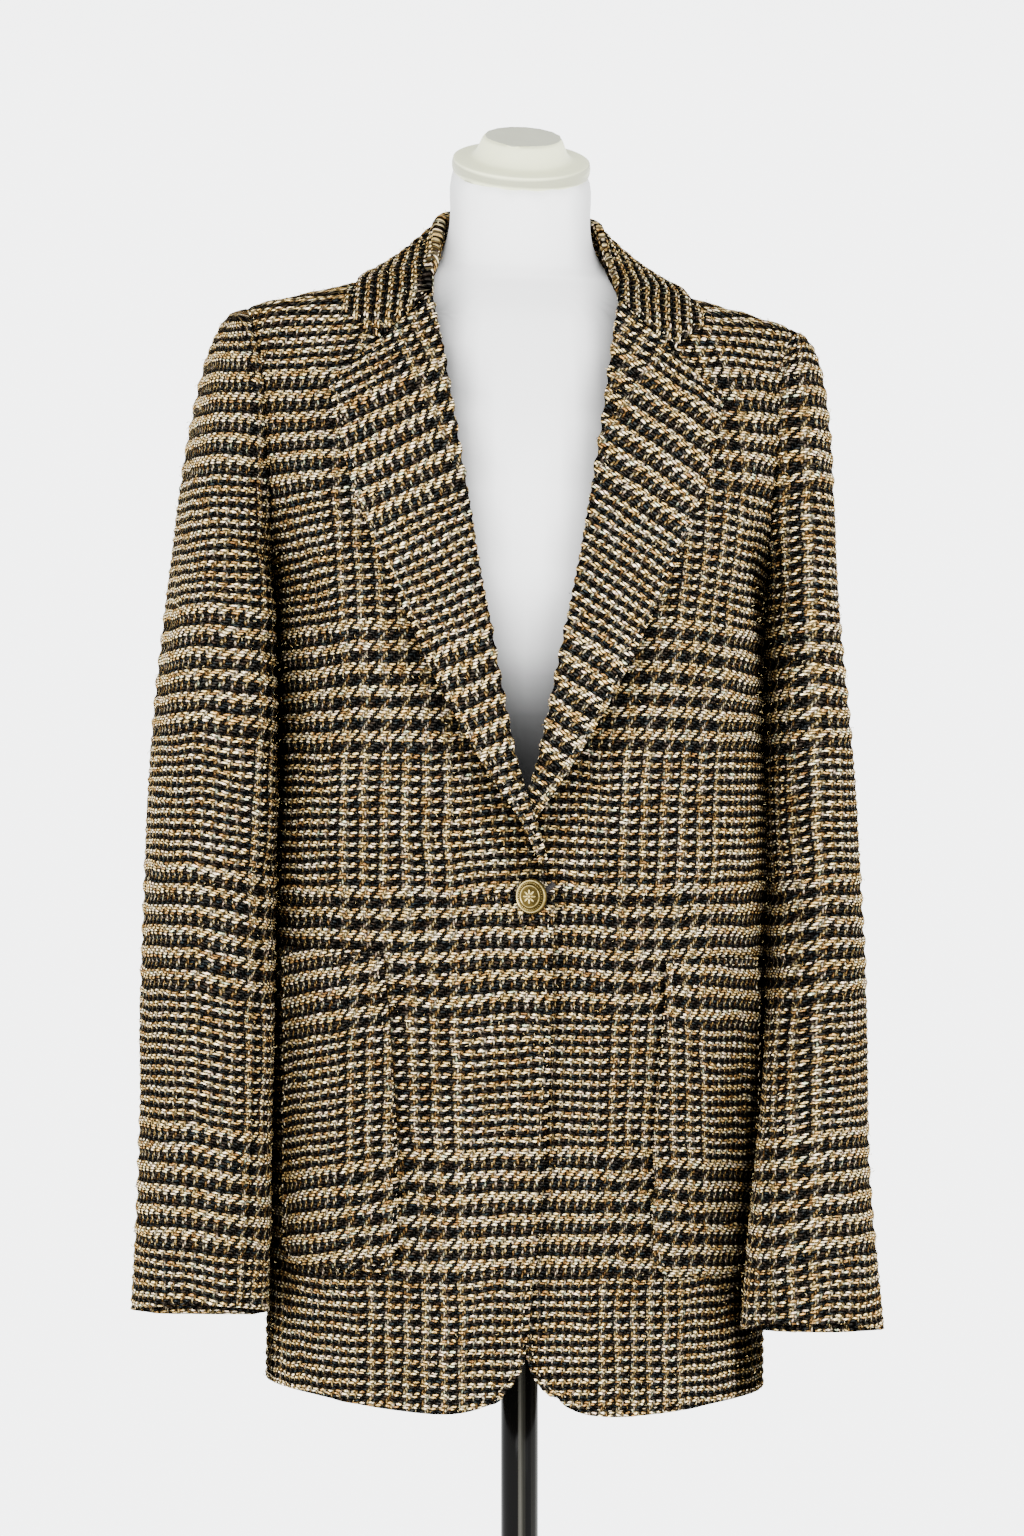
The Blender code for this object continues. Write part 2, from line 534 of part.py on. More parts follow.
def sleeve(arm, first_angle, last_angle):
    """A piece of sleeve between two seams: a cap from the armhole, then the arm down to the cuff."""
    cap_share = 0.36
    length = arm[-1].drop

    def place(across, up):
        angle = between(last_angle, first_angle, across)
        down = 1 - up
        if down >= cap_share:
            return arm_ring(arm, angle, length * (down - cap_share) / (1 - cap_share))
        start = body(*armhole(angle)) + Vector((0.0007, 0, 0))
        end = arm_ring(arm, angle, 0.0)
        chord = (end - start).length
        top_share = (1 + math.cos(math.radians(angle))) / 2
        ahead = -0.25 * math.sin(math.radians(angle))
        leaves = Vector((0.2 + 0.8 * top_share, ahead, -1.0 + 0.9 * top_share))
        arrives = (arm_ring(arm, angle, 0.01) - end).normalized()
        return hermite(
            start, leaves.normalized() * (0.48 * chord), end, arrives * (1.2 * chord), down / cap_share
        )

    return place


def pocket(side):
    """A patch on the front, with rounded lower corners and a mouth that gapes a little."""

    def place(across, up):
        across = 0.5 - 0.5 * math.cos(math.pi * min(max(across, 0.0), 1.0))
        level = between(POCKET_BOTTOM, POCKET_TOP, up)
        inner = angle_at(read(POCKET, "inner_out", level), level)
        angle = between(inner, POCKET_OUTER_ANGLE, across)
        from_corner = min(across, 1 - across) * 0.145 / POCKET_CORNER
        rise = POCKET_CORNER * (1 - math.sqrt(max(1 - max(1 - from_corner, 0.0) ** 2, 0.0)))
        height = between(POCKET_BOTTOM + rise, POCKET_TOP, up)
        gape = 0.0022 * ramp(up, 0.75, 1.0) * math.sin(math.pi * across)
        return front(side, angle, height, CLOTH + LAID + gape)

    return place


def painted(name, mesh, parts, colour, roughness, metallic=0.0):
    """A new object of the mesh, in the parts' collection, with its own material."""
    made = bpy.data.objects.new(name, mesh)
    parts.objects.link(made)
    material = bpy.data.materials.new(name)
    material.use_nodes = True
    shader = material.node_tree.nodes["Principled BSDF"]
    shader.inputs["Base Color"].default_value = (*colour, 1)
    shader.inputs["Roughness"].default_value = roughness
    shader.inputs["Metallic"].default_value = metallic
    mesh.materials.append(material)
    mesh.shade_smooth()
    mesh.set_sharp_from_angle(angle=math.radians(40))
    return made


def mesh_from(bm, name):
    bmesh.ops.recalc_face_normals(bm, faces=bm.faces[:])
    if bm.calc_volume(signed=True) < 0:
        bmesh.ops.reverse_faces(bm, faces=bm.faces[:])
    mesh = bpy.data.meshes.new(name)
    bm.to_mesh(mesh)
    bm.free()
    return mesh


def cloth_piece(name, place, across, up, parts, side=LEFT):
    """A wall of cloth: a grid laid on the surface that place() gives, and its extrusion one CLOTH inside."""
    bm = bmesh.new()
    bmesh.ops.create_grid(bm, x_segments=across, y_segments=up, size=0.5)
    outside = bm.verts[:]
    extruded = bmesh.ops.extrude_face_region(bm, geom=bm.faces[:], use_keep_orig=True)["geom"]
    inside = [element for element in extruded if isinstance(element, bmesh.types.BMVert)]
    for verts, depth in ((outside, 0.0), (inside, CLOTH)):
        for vert in verts:
            first, second = vert.co.x + 0.5, vert.co.y + 0.5
            draft = place(first, second) - normal_of(place, first, second, 0.002) * depth
            draft.x *= side
            vert.co = hang(draft)
    return painted(name, mesh_from(bm, name), parts, (0.23, 0.18, 0.12), 0.95)


def make_jacket(parts):
    for side, word, arm in ((RIGHT, "right", RIGHT_ARM), (LEFT, "left", LEFT_ARM)):
        cloth_piece(word + "_front", front_panel(side), 14, FRONT_ROWS, parts, side)
        cloth_piece(word + "_back", back_panel, 12, BACK_ROWS, parts, side)
        cloth_piece(word + "_lapel", lapel(side), LAPEL_COLUMNS, 16, parts, side)
        cloth_piece(word + "_pocket", pocket(side), 10, 8, parts, side)
        gap = 0.25
        top = sleeve(arm, BACK_SLEEVE_SEAM - 360 + gap, FRONT_SLEEVE_SEAM - gap)
        under = sleeve(arm, FRONT_SLEEVE_SEAM + gap, BACK_SLEEVE_SEAM - gap)
        cloth_piece(word + "_top_sleeve", top, 13, 20, parts, side)
        cloth_piece(word + "_under_sleeve", under, 7, 20, parts, side)
    cloth_piece("collar", collar, 36, COLLAR_ROWS, parts)


def turned_piece(name, profile, parts, colour, roughness, metallic=0.0, steps=32):
    """A profile turned about Z with a Screw modifier."""
    bm = bmesh.new()
    verts = [bm.verts.new((point.radius, 0, point.height)) for point in profile]
    for first, second in zip(verts, verts[1:]):
        bm.edges.new((first, second))
    mesh = bpy.data.meshes.new(name)
    bm.to_mesh(mesh)
    bm.free()
    made = painted(name, mesh, parts, colour, roughness, metallic)
    screw = made.modifiers.new("Turned", "SCREW")
    screw.steps = screw.render_steps = steps
    screw.use_merge_vertices = True
    screw.merge_threshold = 0.00001
    screw.use_smooth_shade = True
    return made


def make_button(parts, cutters):
    """The button stands on its shank through a hole in the right front, and is sewn to the left front."""
    centre = body(0, BUTTON_HEIGHT)
    surface = centre.y - lap(RIGHT, 0.0, BUTTON_HEIGHT)
    stand_off = BUTTON_RADIUS * math.sin(-BUTTON_TURN) + 0.0005
    button = turned_piece("button", BUTTON, parts, (0.72, 0.50, 0.20), 0.28, 1.0, steps=20)
    button.location = hang(Vector((0.0035, surface - stand_off, BUTTON_HEIGHT)))
    button.rotation_euler = (math.radians(90), 0, BUTTON_TURN)
    bm = bmesh.new()
    bmesh.ops.create_cube(bm, size=1)
    mesh = mesh_from(bm, "buttonhole")
    cutter = bpy.data.objects.new("buttonhole", mesh)
    cutters.objects.link(cutter)
    cutter.scale = (BUTTONHOLE_LENGTH, 4 * CLOTH, BUTTONHOLE_WIDTH)
    cutter.location = hang(Vector((0.0, surface + CLOTH / 2, BUTTON_HEIGHT)))
    cutter.hide_render = True
    cutter.display_type = "WIRE"
    cut = bpy.data.objects["right_front"].modifiers.new("Buttonhole", "BOOLEAN")
    cut.operation = "DIFFERENCE"
    cut.object = cutter


def make_form(parts):
    """The padded torso: the rings of a sphere set to the sections, and its two poles to the flat ends."""
    bm = bmesh.new()
    bmesh.ops.create_uvsphere(bm, u_segments=28, v_segments=len(FORM) + 1, radius=1)
    for vert in bm.verts:
        index = round((1 - math.acos(max(min(vert.co.z, 1), -1)) / math.pi) * (len(FORM) + 1))
        row = FORM[min(max(index - 1, 0), len(FORM) - 1)]
        angle = math.degrees(math.atan2(vert.co.x, -vert.co.y))
        is_pole = index in (0, len(FORM) + 1)
        x, y = (0.0, 0.0) if is_pole else ring(row.half_width, row.front, row.back, row.square, angle)
        rise = y * math.tan(math.radians(row.pitch))
        vert.co = hang(Vector((x, y - row.forward, row.height + rise)))
    return painted("dress_form", mesh_from(bm, "dress_form"), parts, (0.86, 0.86, 0.85), 0.8)


def make_stand(parts):
    cap = turned_piece("neck_cap", CAP, parts, (0.80, 0.80, 0.72), 0.4)
    middle = Vector((0, -NECK_TOP.forward, NECK_TOP.height))
    seat = hang(middle)
    rightwards = hang(middle + Vector((0.01, 0, 0))) - seat
    backwards = hang(middle + Vector((0, 0.01, 0.01 * math.tan(math.radians(NECK_TOP.pitch))))) - seat
    axis = rightwards.cross(backwards).normalized()
    cap.location = seat + axis * 0.0006
    cap.rotation_euler = axis.to_track_quat("Z", "Y").to_euler()

    bm = bmesh.new()
    bottom, top = BASE_THICKNESS + 0.0003, FORM[0].height - 0.0006
    bmesh.ops.create_cone(
        bm, cap_ends=True, segments=32, radius1=POLE_RADIUS, radius2=POLE_RADIUS, depth=top - bottom
    )
    bmesh.ops.translate(bm, verts=bm.verts[:], vec=(0, 0, (top + bottom) / 2))
    painted("pole", mesh_from(bm, "pole"), parts, (0.012, 0.012, 0.014), 0.3, 0.6)

    base = (
        Turned(0.0, BASE_THICKNESS), Turned(BASE_RADIUS - BASE_EDGE, BASE_THICKNESS),
        Turned(BASE_RADIUS, BASE_THICKNESS - BASE_EDGE), Turned(BASE_RADIUS, 0.0), Turned(0.0, 0.0),
    )
    turned_piece("base_plate", base, parts, (0.012, 0.012, 0.014), 0.45, 0.6, steps=48)


for old in list(bpy.data.objects):
    bpy.data.objects.remove(old)
jacket_and_form = bpy.data.collections.new("tweed jacket on dress form")
cutting_tools = bpy.data.collections.new("cutters")
bpy.context.scene.collection.children.link(jacket_and_form)
bpy.context.scene.collection.children.link(cutting_tools)
make_jacket(jacket_and_form)
make_button(jacket_and_form, cutting_tools)
make_form(jacket_and_form)
make_stand(jacket_and_form)
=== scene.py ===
"""The looks of a tweed hacking jacket on its dress form: cloth, stitching, button, form, cap and stand."""

import math
from collections import namedtuple
from functools import partial
from itertools import product

import bmesh
import bpy
import numpy as np
from mathutils import Matrix, Vector, noise
from mathutils.bvhtree import BVHTree


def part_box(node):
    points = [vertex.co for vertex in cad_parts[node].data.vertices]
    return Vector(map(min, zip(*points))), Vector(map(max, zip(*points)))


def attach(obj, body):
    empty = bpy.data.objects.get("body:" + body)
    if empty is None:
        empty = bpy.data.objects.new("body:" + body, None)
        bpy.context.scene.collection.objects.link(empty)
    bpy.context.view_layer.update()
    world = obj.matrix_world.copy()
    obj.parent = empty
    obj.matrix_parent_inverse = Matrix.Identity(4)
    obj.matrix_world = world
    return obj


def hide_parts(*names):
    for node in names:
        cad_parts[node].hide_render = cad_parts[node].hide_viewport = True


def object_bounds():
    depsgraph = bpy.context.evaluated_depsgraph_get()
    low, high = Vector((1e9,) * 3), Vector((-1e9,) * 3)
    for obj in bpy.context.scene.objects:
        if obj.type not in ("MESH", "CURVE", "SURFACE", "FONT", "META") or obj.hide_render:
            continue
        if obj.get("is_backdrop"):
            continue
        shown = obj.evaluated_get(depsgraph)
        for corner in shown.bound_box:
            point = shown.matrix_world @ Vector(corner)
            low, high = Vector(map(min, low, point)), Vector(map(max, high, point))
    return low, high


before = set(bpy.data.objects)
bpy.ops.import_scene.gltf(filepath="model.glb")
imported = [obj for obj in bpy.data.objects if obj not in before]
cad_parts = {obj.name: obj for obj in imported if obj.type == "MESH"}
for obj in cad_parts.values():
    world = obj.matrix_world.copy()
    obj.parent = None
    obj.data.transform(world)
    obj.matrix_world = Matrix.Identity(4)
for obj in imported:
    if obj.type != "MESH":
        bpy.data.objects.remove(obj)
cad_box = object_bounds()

# ---------------------------------------------------------------------------------------------------------
# Room, light and camera. A plain pale studio: bright walls, a soft box high in front, a weaker one to the
# right, a small bright one for what gleams, and a level camera far off, so that upright edges stay straight.
EYE = Vector((-0.005, -3.0, 1.083))
FRAME_HEIGHT = 1536 / 4478  # what the frame takes in at a distance of one metre
SENSOR = 36.0


def add_object(name, data):
    """A new object in the scene."""
    made = bpy.data.objects.new(name, data)
    bpy.context.scene.collection.objects.link(made)
    return made


camera_data = bpy.data.cameras.new("camera")
camera_data.sensor_fit = "VERTICAL"
camera_data.sensor_height = SENSOR
camera_data.lens = SENSOR / FRAME_HEIGHT
camera = add_object("camera", camera_data)
camera.location = EYE
camera.rotation_euler = (math.radians(90), 0, 0)
bpy.context.scene.camera = camera

WALL_LIGHT, CEILING_LIGHT = 5.3, 0.9
WALL_TOP, CEILING_EDGE = 0.15, 0.75  # sines of the angles up, between which the one passes into the other

world = bpy.data.worlds.new("studio")
world.use_nodes = True
tree = world.node_tree
background = tree.nodes["Background"]
background.inputs["Color"].default_value = (0.98, 0.99, 1, 1)
height = tree.nodes.new("ShaderNodeSeparateXYZ")
dimmed = tree.nodes.new("ShaderNodeMapRange")  # the pale walls are lit, the ceiling less so
tree.links.new(tree.nodes.new("ShaderNodeTexCoord").outputs["Generated"], height.inputs[0])
tree.links.new(height.outputs["Z"], dimmed.inputs["Value"])
dimming = {"From Min": WALL_TOP, "From Max": CEILING_EDGE, "To Min": WALL_LIGHT, "To Max": CEILING_LIGHT}
for name, value in dimming.items():
    dimmed.inputs[name].default_value = value
tree.links.new(dimmed.outputs["Result"], background.inputs["Strength"])
bpy.context.scene.world = world


def soft_light(name, place, aim, width, watts):
    """A square soft box at a place, turned to face another."""
    data = bpy.data.lights.new(name, "AREA")
    data.size = width
    data.energy = watts
    light = add_object(name, data)
    light.location = place
    light.rotation_euler = (Vector(aim) - Vector(place)).to_track_quat("-Z", "Y").to_euler()


soft_light("key", (-0.7, -2.9, 1.8), (0, 0, 1.1), 1.2, 56)
soft_light("fill", (1.8, -2.2, 1.5), (0, 0, 1.0), 1.5, 14)
soft_light("spark", (-1.1, -2.4, 1.7), (0, 0, 1.0), 0.10, 7)  # small and bright, for the metal and the enamel



def mesh_of(name, bm):
    """The bmesh as a new mesh."""
    mesh = bpy.data.meshes.new(name)
    bm.to_mesh(mesh)
    bm.free()
    return mesh


FLOOR_RADIUS = 1.2
FLOOR_FADE, FLOOR_SOFT = 1.6, 0.2  # how fast the paper thins out to its rim, and how softly that begins
bm = bmesh.new()
bmesh.ops.create_circle(bm, cap_ends=True, segments=96, radius=FLOOR_RADIUS)
floor = add_object("floor", mesh_of("floor", bm))
floor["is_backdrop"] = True


def material(name, colour, roughness, metallic=0.0):
    """A new material with those values on its shader, its node tree, and the shader."""
    made = bpy.data.materials.new(name)
    made.use_nodes = True
    shader = made.node_tree.nodes["Principled BSDF"]
    shader.inputs["Base Color"].default_value = (*colour, 1)
    shader.inputs["Roughness"].default_value = roughness
    shader.inputs["Metallic"].default_value = metallic
    return made, made.node_tree, shader


def node(tree, kind, inputs=None, **settings):
    """A new shader node with its settings, each input linked to a socket or set to a value."""
    made = tree.nodes.new("ShaderNode" + kind)
    for setting, value in settings.items():
        setattr(made, setting, value)
    for name, value in (inputs or {}).items():
        if isinstance(value, bpy.types.NodeSocket):
            tree.links.new(value, made.inputs[name])
        else:
            made.inputs[name].default_value = value
    return made


def maths(tree, operation, *values):
    """The result of a Math node."""
    return node(tree, "Math", dict(enumerate(values)), operation=operation).outputs[0]


def colour_ramp(tree, fac, *stops):
    """The colour of a ramp through (place, red, green, blue) stops."""
    ramp = node(tree, "ValToRGB", {"Fac": fac})
    points = ramp.color_ramp.elements
    while len(points) < len(stops):
        points.new(0.5)
    for point, (place, *colour) in zip(points, stops):
        point.position = place
        point.color = (*colour, 1)
    return ramp.outputs["Color"]


def blend(tree, share, first, second):
    """A mix of two colours."""
    mix = node(tree, "Mix", data_type="RGBA")
    for socket, value in ((mix.inputs[0], share), (mix.inputs[6], first), (mix.inputs[7], second)):
        if isinstance(value, bpy.types.NodeSocket):
            tree.links.new(value, socket)
        else:
            socket.default_value = value
    return mix.outputs[2]


def place_in(tree):
    """Where a point is on its piece."""
    return node(tree, "TexCoord").outputs["Object"]


paper, tree, shader = material("floor paper", (0.86, 0.86, 0.86), 0.9)
distance = node(tree, "VectorMath", {0: place_in(tree)}, operation="LENGTH").outputs["Value"]
near = maths(tree, "SUBTRACT", 1.0, maths(tree, "DIVIDE", distance, FLOOR_RADIUS * 0.95))
shows = maths(tree, "SMOOTH_MIN", maths(tree, "MULTIPLY", near, FLOOR_FADE), 1.0, FLOOR_SOFT)
tree.links.new(shows, shader.inputs["Alpha"])
floor.data.materials.append(paper)

# ---------------------------------------------------------------------------------------------------------
# The tweed. Thick wool boucle in a 2/2 twill: warp and weft both go six times four dark, four light, and
# then twelve times two dark, two light, which makes stars, teeth and hairlines. Every piece is cut from it.
WARP_PITCH, WEFT_PITCH = 0.00172, 0.001778
REPEAT, BOLD = 96, 48  # threads in a repeat, and how many of them are in fours
CRIMP, WARP_SIZE = 0.42, 0.56  # how far a yarn waves up and down, and how thick the warp is beside the weft
YARN_CHANGE = 46.0  # how fast the dye changes along a yarn
YARN_DYES = (  # place in the ramp, red, green and blue: brown, tan, gold, straw, cream, salmon, pale green
    (0.360, 0.200, 0.098, 0.032), (0.420, 0.450, 0.245, 0.078), (0.465, 0.720, 0.465, 0.155),
    (0.505, 0.920, 0.690, 0.290), (0.545, 0.980, 0.860, 0.580), (0.585, 0.920, 0.610, 0.420),
    (0.630, 0.700, 0.770, 0.490),
)
YARN_BLACKS = (  # from brownish to bluish
    (0.38, 0.0230, 0.0155, 0.0105), (0.5, 0.0155, 0.0142, 0.0120), (0.62, 0.0110, 0.0145, 0.0160),
)
WANDERS = (38.0, 1.0, 0.0045), (300.0, 2.0, 0.0021)  # a noise's scale and detail, and how far it moves a yarn
GLINT = 0.38, 0.64, 0.20, 1.72  # as the fibres' noise goes from the first to the second, so does their light
HOLLOW = 0.77, 1.39, 0.070, 1.55  # the same for a yarn's height: little light gets down between the yarns
CLOTH_THICKNESS = 0.0016
WELD = 0.00002
RIM_ANGLE = math.radians(62)  # a solid turns by more than this where its outer wall meets its rim
SLIT_SIDES = 14
SMOOTHING = 2
SMOOTHING_ROUNDS = 3  # to bring the smooth surface back through the coarse one's points
STEEP = 0.75  # an edge that rises by more than this share of its length crosses the weft
NAP, FINE_NAP = 0.00085, 0.7  # how far the thick picks stand out, and the share of that for the fine ones
LUMPS, LUMP_SCALE = 0.0005, 300


def noise_in(tree, place, scale, detail=2.0, roughness=0.5):
    """How strong a noise is at a place."""
    inputs = {"Vector": place, "Scale": scale, "Detail": detail, "Roughness": roughness}
    return node(tree, "TexNoise", inputs).outputs["Fac"]


def ranged(tree, value, start, end, first, last):
    """It goes from first to last as the value goes from start to end."""
    return node(tree, "MapRange", {"Value": value, 1: start, 2: end, 3: first, 4: last}).outputs[0]


def add_bump(tree, shader, height, strength, distance):
    """Relief too fine for the mesh."""
    bump = node(tree, "Bump", {"Height": height, "Strength": strength, "Distance": distance})
    tree.links.new(bump.outputs["Normal"], shader.inputs["Normal"])


def tweed():
    """The higher of two crossing yarns shows, dark or light by its place in the repeat."""
    made, tree, shader = material("tweed", (0.2, 0.16, 0.1), 0.95)
    do = partial(maths, tree)
    grain = node(tree, "UVMap", uv_map="grain").outputs["UV"]
    placed = grain
    for scale, detail, reach in WANDERS:
        wander = node(tree, "TexNoise", {"Vector": grain, "Scale": scale, "Detail": detail}).outputs["Color"]
        wander = node(tree, "VectorMath", {0: wander, 1: (0.5, 0.5, 0.5)}, operation="SUBTRACT").outputs[0]
        wander = node(tree, "VectorMath", {0: wander, "Scale": reach}, operation="SCALE").outputs[0]
        placed = node(tree, "VectorMath", {0: placed, 1: wander}, operation="ADD").outputs[0]
    apart = node(tree, "SeparateXYZ", {0: placed})
    counted, number, light, round_top = [], [], [], []
    for socket, pitch in (("X", WARP_PITCH), ("Y", WEFT_PITCH)):
        count = do("DIVIDE", apart.outputs[socket], pitch)
        whole = do("FLOOR", count)
        place = do("FLOORED_MODULO", whole, float(REPEAT))
        fours, twos = (
            do("GREATER_THAN", do("FLOORED_MODULO", place, 2.0 * stripe), stripe - 0.5) for stripe in (4, 2)
        )
        in_fours = do("LESS_THAN", place, BOLD - 0.5)
        of_twos = do("MULTIPLY", do("SUBTRACT", 1.0, in_fours), twos)
        counted.append(count)
        number.append(whole)
        light.append(do("ADD", do("MULTIPLY", in_fours, fours), of_twos))
        round_top.append(do("SINE", do("MULTIPLY", do("FRACT", count), math.pi)))
    quarter = math.pi / 2  # of the wave that a yarn makes over two others and under two
    warp_lift = do("COSINE", do("MULTIPLY", do("SUBTRACT", counted[1], number[0]), quarter))
    weft_lift = do("SINE", do("MULTIPLY", do("SUBTRACT", number[1], counted[0]), quarter))
    warp_top = do("MULTIPLY_ADD", warp_lift, CRIMP, do("MULTIPLY", round_top[0], WARP_SIZE))
    weft_top = do("MULTIPLY_ADD", weft_lift, CRIMP, round_top[1])
    warp_shows = do("GREATER_THAN", warp_top, weft_top)
    is_light = blend(tree, warp_shows, light[1], light[0])
    top = do("MAXIMUM", warp_top, weft_top)

    warp_run = node(tree, "CombineXYZ", {0: do("MULTIPLY", apart.outputs["Y"], YARN_CHANGE), 1: number[0]})
    weft_run = node(tree, "CombineXYZ", {0: do("MULTIPLY", apart.outputs["X"], YARN_CHANGE), 1: number[1]})
    run = blend(tree, warp_shows, weft_run.outputs[0], warp_run.outputs[0])
    shade = noise_in(tree, run, 1.37, 4.0, 0.70)
    blacks, dyes = colour_ramp(tree, shade, *YARN_BLACKS), colour_ramp(tree, shade, *YARN_DYES)
    fibre = noise_in(tree, placed, 950.0, 2.0, 0.7)
    # Painted light and shade: dark where a yarn lies low between others, painted glints on the fibres, and
    # the painted shade carried in the open attribute.
    lit = do("MULTIPLY", ranged(tree, top, *HOLLOW), ranged(tree, fibre, *GLINT))
    lit = do("MULTIPLY", lit, node(tree, "Attribute", attribute_name="open").outputs["Fac"])
    wear_and_shade = node(tree, "VectorMath", {0: blend(tree, is_light, blacks, dyes), "Scale": lit}, operation="SCALE")
    tree.links.new(wear_and_shade.outputs[0], shader.inputs["Base Color"])
    relief = do("MULTIPLY_ADD", fibre, 0.9, do("MULTIPLY_ADD", is_light, 0.35, top))
    add_bump(tree, shader, relief, 0.8, 0.0009)
    shader.inputs["Specular IOR Level"].default_value = 0.0
    return made


TWEED = tweed()
CLOTHS = {}  # every piece that is cut from it


def opened(mesh):
    """The mesh as a bmesh."""
    bm = bmesh.new()
    bm.from_mesh(mesh)
    return bm


def squared_up(name, flatness):
    """A solid's mesh, welded, its triangles joined in pairs where they turn by less than that."""
    bm = opened(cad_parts[name].data)
    bmesh.ops.remove_doubles(bm, verts=bm.verts, dist=WELD)
    bmesh.ops.join_triangles(
        bm, faces=bm.faces[:], angle_face_threshold=flatness, angle_shape_threshold=math.pi
    )
    return bm


def outer_wall(name, middle):
    """The outer wall of a cloth solid, parted from its rim and its inner wall, with any slit in it shut.

    middle() gives the line that the wall goes round, so the outer wall is the one that faces away from it.
    """
    bm = squared_up(name, math.pi)
    rims = [edge for edge in bm.edges if edge.is_manifold and edge.calc_face_angle() > RIM_ANGLE]
    bmesh.ops.split_edges(bm, edges=rims)
    walls, left = [], set(bm.faces)
    while left:
        wall, growing = [], [left.pop()]
        while growing:
            face = growing.pop()
            wall.append(face)
            beside = {other for edge in face.edges for other in edge.link_faces} & left
            left -= beside
            growing.extend(beside)
        walls.append(wall)

    def faces_away(wall):
        total = 0.0
        for face in wall:
            centre = face.calc_center_median()
            total += face.calc_area() * face.normal.dot(centre - middle(centre.z))
        return total

    outer = set(max(walls, key=faces_away))
    bmesh.ops.delete(bm, geom=[face for face in bm.faces if face not in outer], context="FACES")
    bmesh.ops.holes_fill(bm, edges=[edge for edge in bm.edges if edge.is_boundary], sides=SLIT_SIDES)
    return bm


def modified(piece):
    """A new mesh of the object as its modifiers make it."""
    bpy.context.view_layer.update()
    return bpy.data.meshes.new_from_object(piece.evaluated_get(bpy.context.evaluated_depsgraph_get()))


def smoothed(name, bm):
    """A fine mesh on a smooth surface that still goes through every point of the coarse one."""
    mesh = mesh_of(name, bm)
    coarse = add_object(name, mesh)
    smooth = coarse.modifiers.new("Smooth", "SUBSURF")
    smooth.levels = smooth.render_levels = SMOOTHING
    smooth.boundary_smooth = "PRESERVE_CORNERS"
    count = len(mesh.vertices)
    goal = np.empty(count * 3)
    mesh.vertices.foreach_get("co", goal)
    control = goal.copy()
    for _ in range(SMOOTHING_ROUNDS):
        fine = modified(coarse)
        reached = np.empty(len(fine.vertices) * 3)
        fine.vertices.foreach_get("co", reached)
        bpy.data.meshes.remove(fine)
        control += goal - reached[: count * 3]
        mesh.vertices.foreach_set("co", control)
        mesh.update()
    fine = modified(coarse)
    bpy.data.objects.remove(coarse)
    bpy.data.meshes.remove(mesh)
    return fine


def add_picks(mesh, up):
    """Rows close enough for the yarns to stand up: each edge that crosses the weft is cut in three."""
    bm = opened(mesh)
    bm.verts.ensure_lookup_table()
    crossing = []
    for edge in bm.edges:
        first, second = edge.verts
        if abs(up[first.index] - up[second.index]) > STEEP * edge.calc_length():
            crossing.append(edge)
    bmesh.ops.subdivide_edges(bm, edges=crossing, cuts=2)
    bm.to_mesh(mesh)
    bm.free()


def points_of(mesh):
    """The mesh's points and their normals, one row each."""
    points, normals = np.empty(len(mesh.vertices) * 3), np.empty(len(mesh.vertices) * 3)
    mesh.vertices.foreach_get("co", points)
    mesh.vertex_normals.foreach_get("vector", normals)
    return points.reshape(-1, 3), normals.reshape(-1, 3)


def rise(value, start, end):
    """0 at start, 1 at end, smooth between."""
    share = np.clip((value - start) / (end - start), 0, 1)
    return share * share * (3 - 2 * share)


def swell(value, start, full, fade, end):
    """0 up to start, 1 from full to fade, and 0 again from end on."""
    return rise(value, start, full) * (1 - rise(value, fade, end))


def nap(points, grain_up):
    """How far the yarn stands off the smooth surface: thick light picks, and lumps of boucle."""
    pick = grain_up / WEFT_PITCH
    in_fours = pick % REPEAT < BOLD
    wave = np.where(in_fours, -np.sin(2 * np.pi * pick / 8), -FINE_NAP * np.sin(2 * np.pi * pick / 4))
    lumps = np.array([noise.noise(Vector(point) * LUMP_SCALE) for point in points])
    return NAP * wave + LUMPS * lumps


Crease = namedtuple("Crease", "across up across_end up_end depth width")  # a ridge has a depth below 0
TAPER = -0.25, 0.35, 0.65, 1.25  # where along it a crease begins, is full, fades and ends
GENTLE_SIDE = 1.7  # a crease is this much wider on one side
# A piece close by, how far and how much painted shade it puts on this one, and between which heights that
# fades.
NOWHERE = 9.0, 10.0
FADED = 0.8  # the share of it that goes
Beside = namedtuple("Beside", "name reach depth fade", defaults=(NOWHERE,))
SEAM = 0.0030, 0.60  # reach and depth of the painted shade along a pressed seam
SEAM_DIP = 0.0007
ARMHOLE = 1.16, 1.26
HANGS_BY = 0.030, 0.86, ARMHOLE  # painted shade from a sleeve that hangs by the body
# How deep a crease is where its painted shade is full, how dark that shade is, and the most painted light a
# ridge gets.
VALLEY_DEPTH, VALLEY_SHADE, RIDGE_LIGHT = 0.005, 0.40, 0.4


def creases(*rows):
    return [Crease(*row) for row in rows]


def creased(across, up, lines):
    """How far the creases push the cloth in: soft at both ends, and steeper on one side."""
    pushed = np.zeros(len(across))
    for crease in lines:
        first = np.array((crease.across, crease.up))
        way = np.array((crease.across_end, crease.up_end)) - first
        length = np.linalg.norm(way)
        off = np.stack((across, up), axis=1) - first
        run = off @ way / length**2
        aside = off @ np.array((-way[1], way[0])) / length
        width = np.where(aside > 0, crease.width, GENTLE_SIDE * crease.width)
        pushed += crease.depth * swell(run, *TAPER) * np.exp(-((aside / width) ** 2))
    return pushed


def searchable(mesh):
    """The mesh in a form that finds the point on it nearest to another."""
    return BVHTree.FromPolygons(
        [vertex.co for vertex in mesh.vertices], [face.vertices for face in mesh.polygons]
    )


def distances(points, name, reach):
    """How far each point is from a solid, or the reach where it is farther."""
    tree = searchable(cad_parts[name].data)
    found = (tree.find_nearest(Vector(point), reach)[3] for point in points)
    return np.array([reach if apart is None else apart for apart in found])


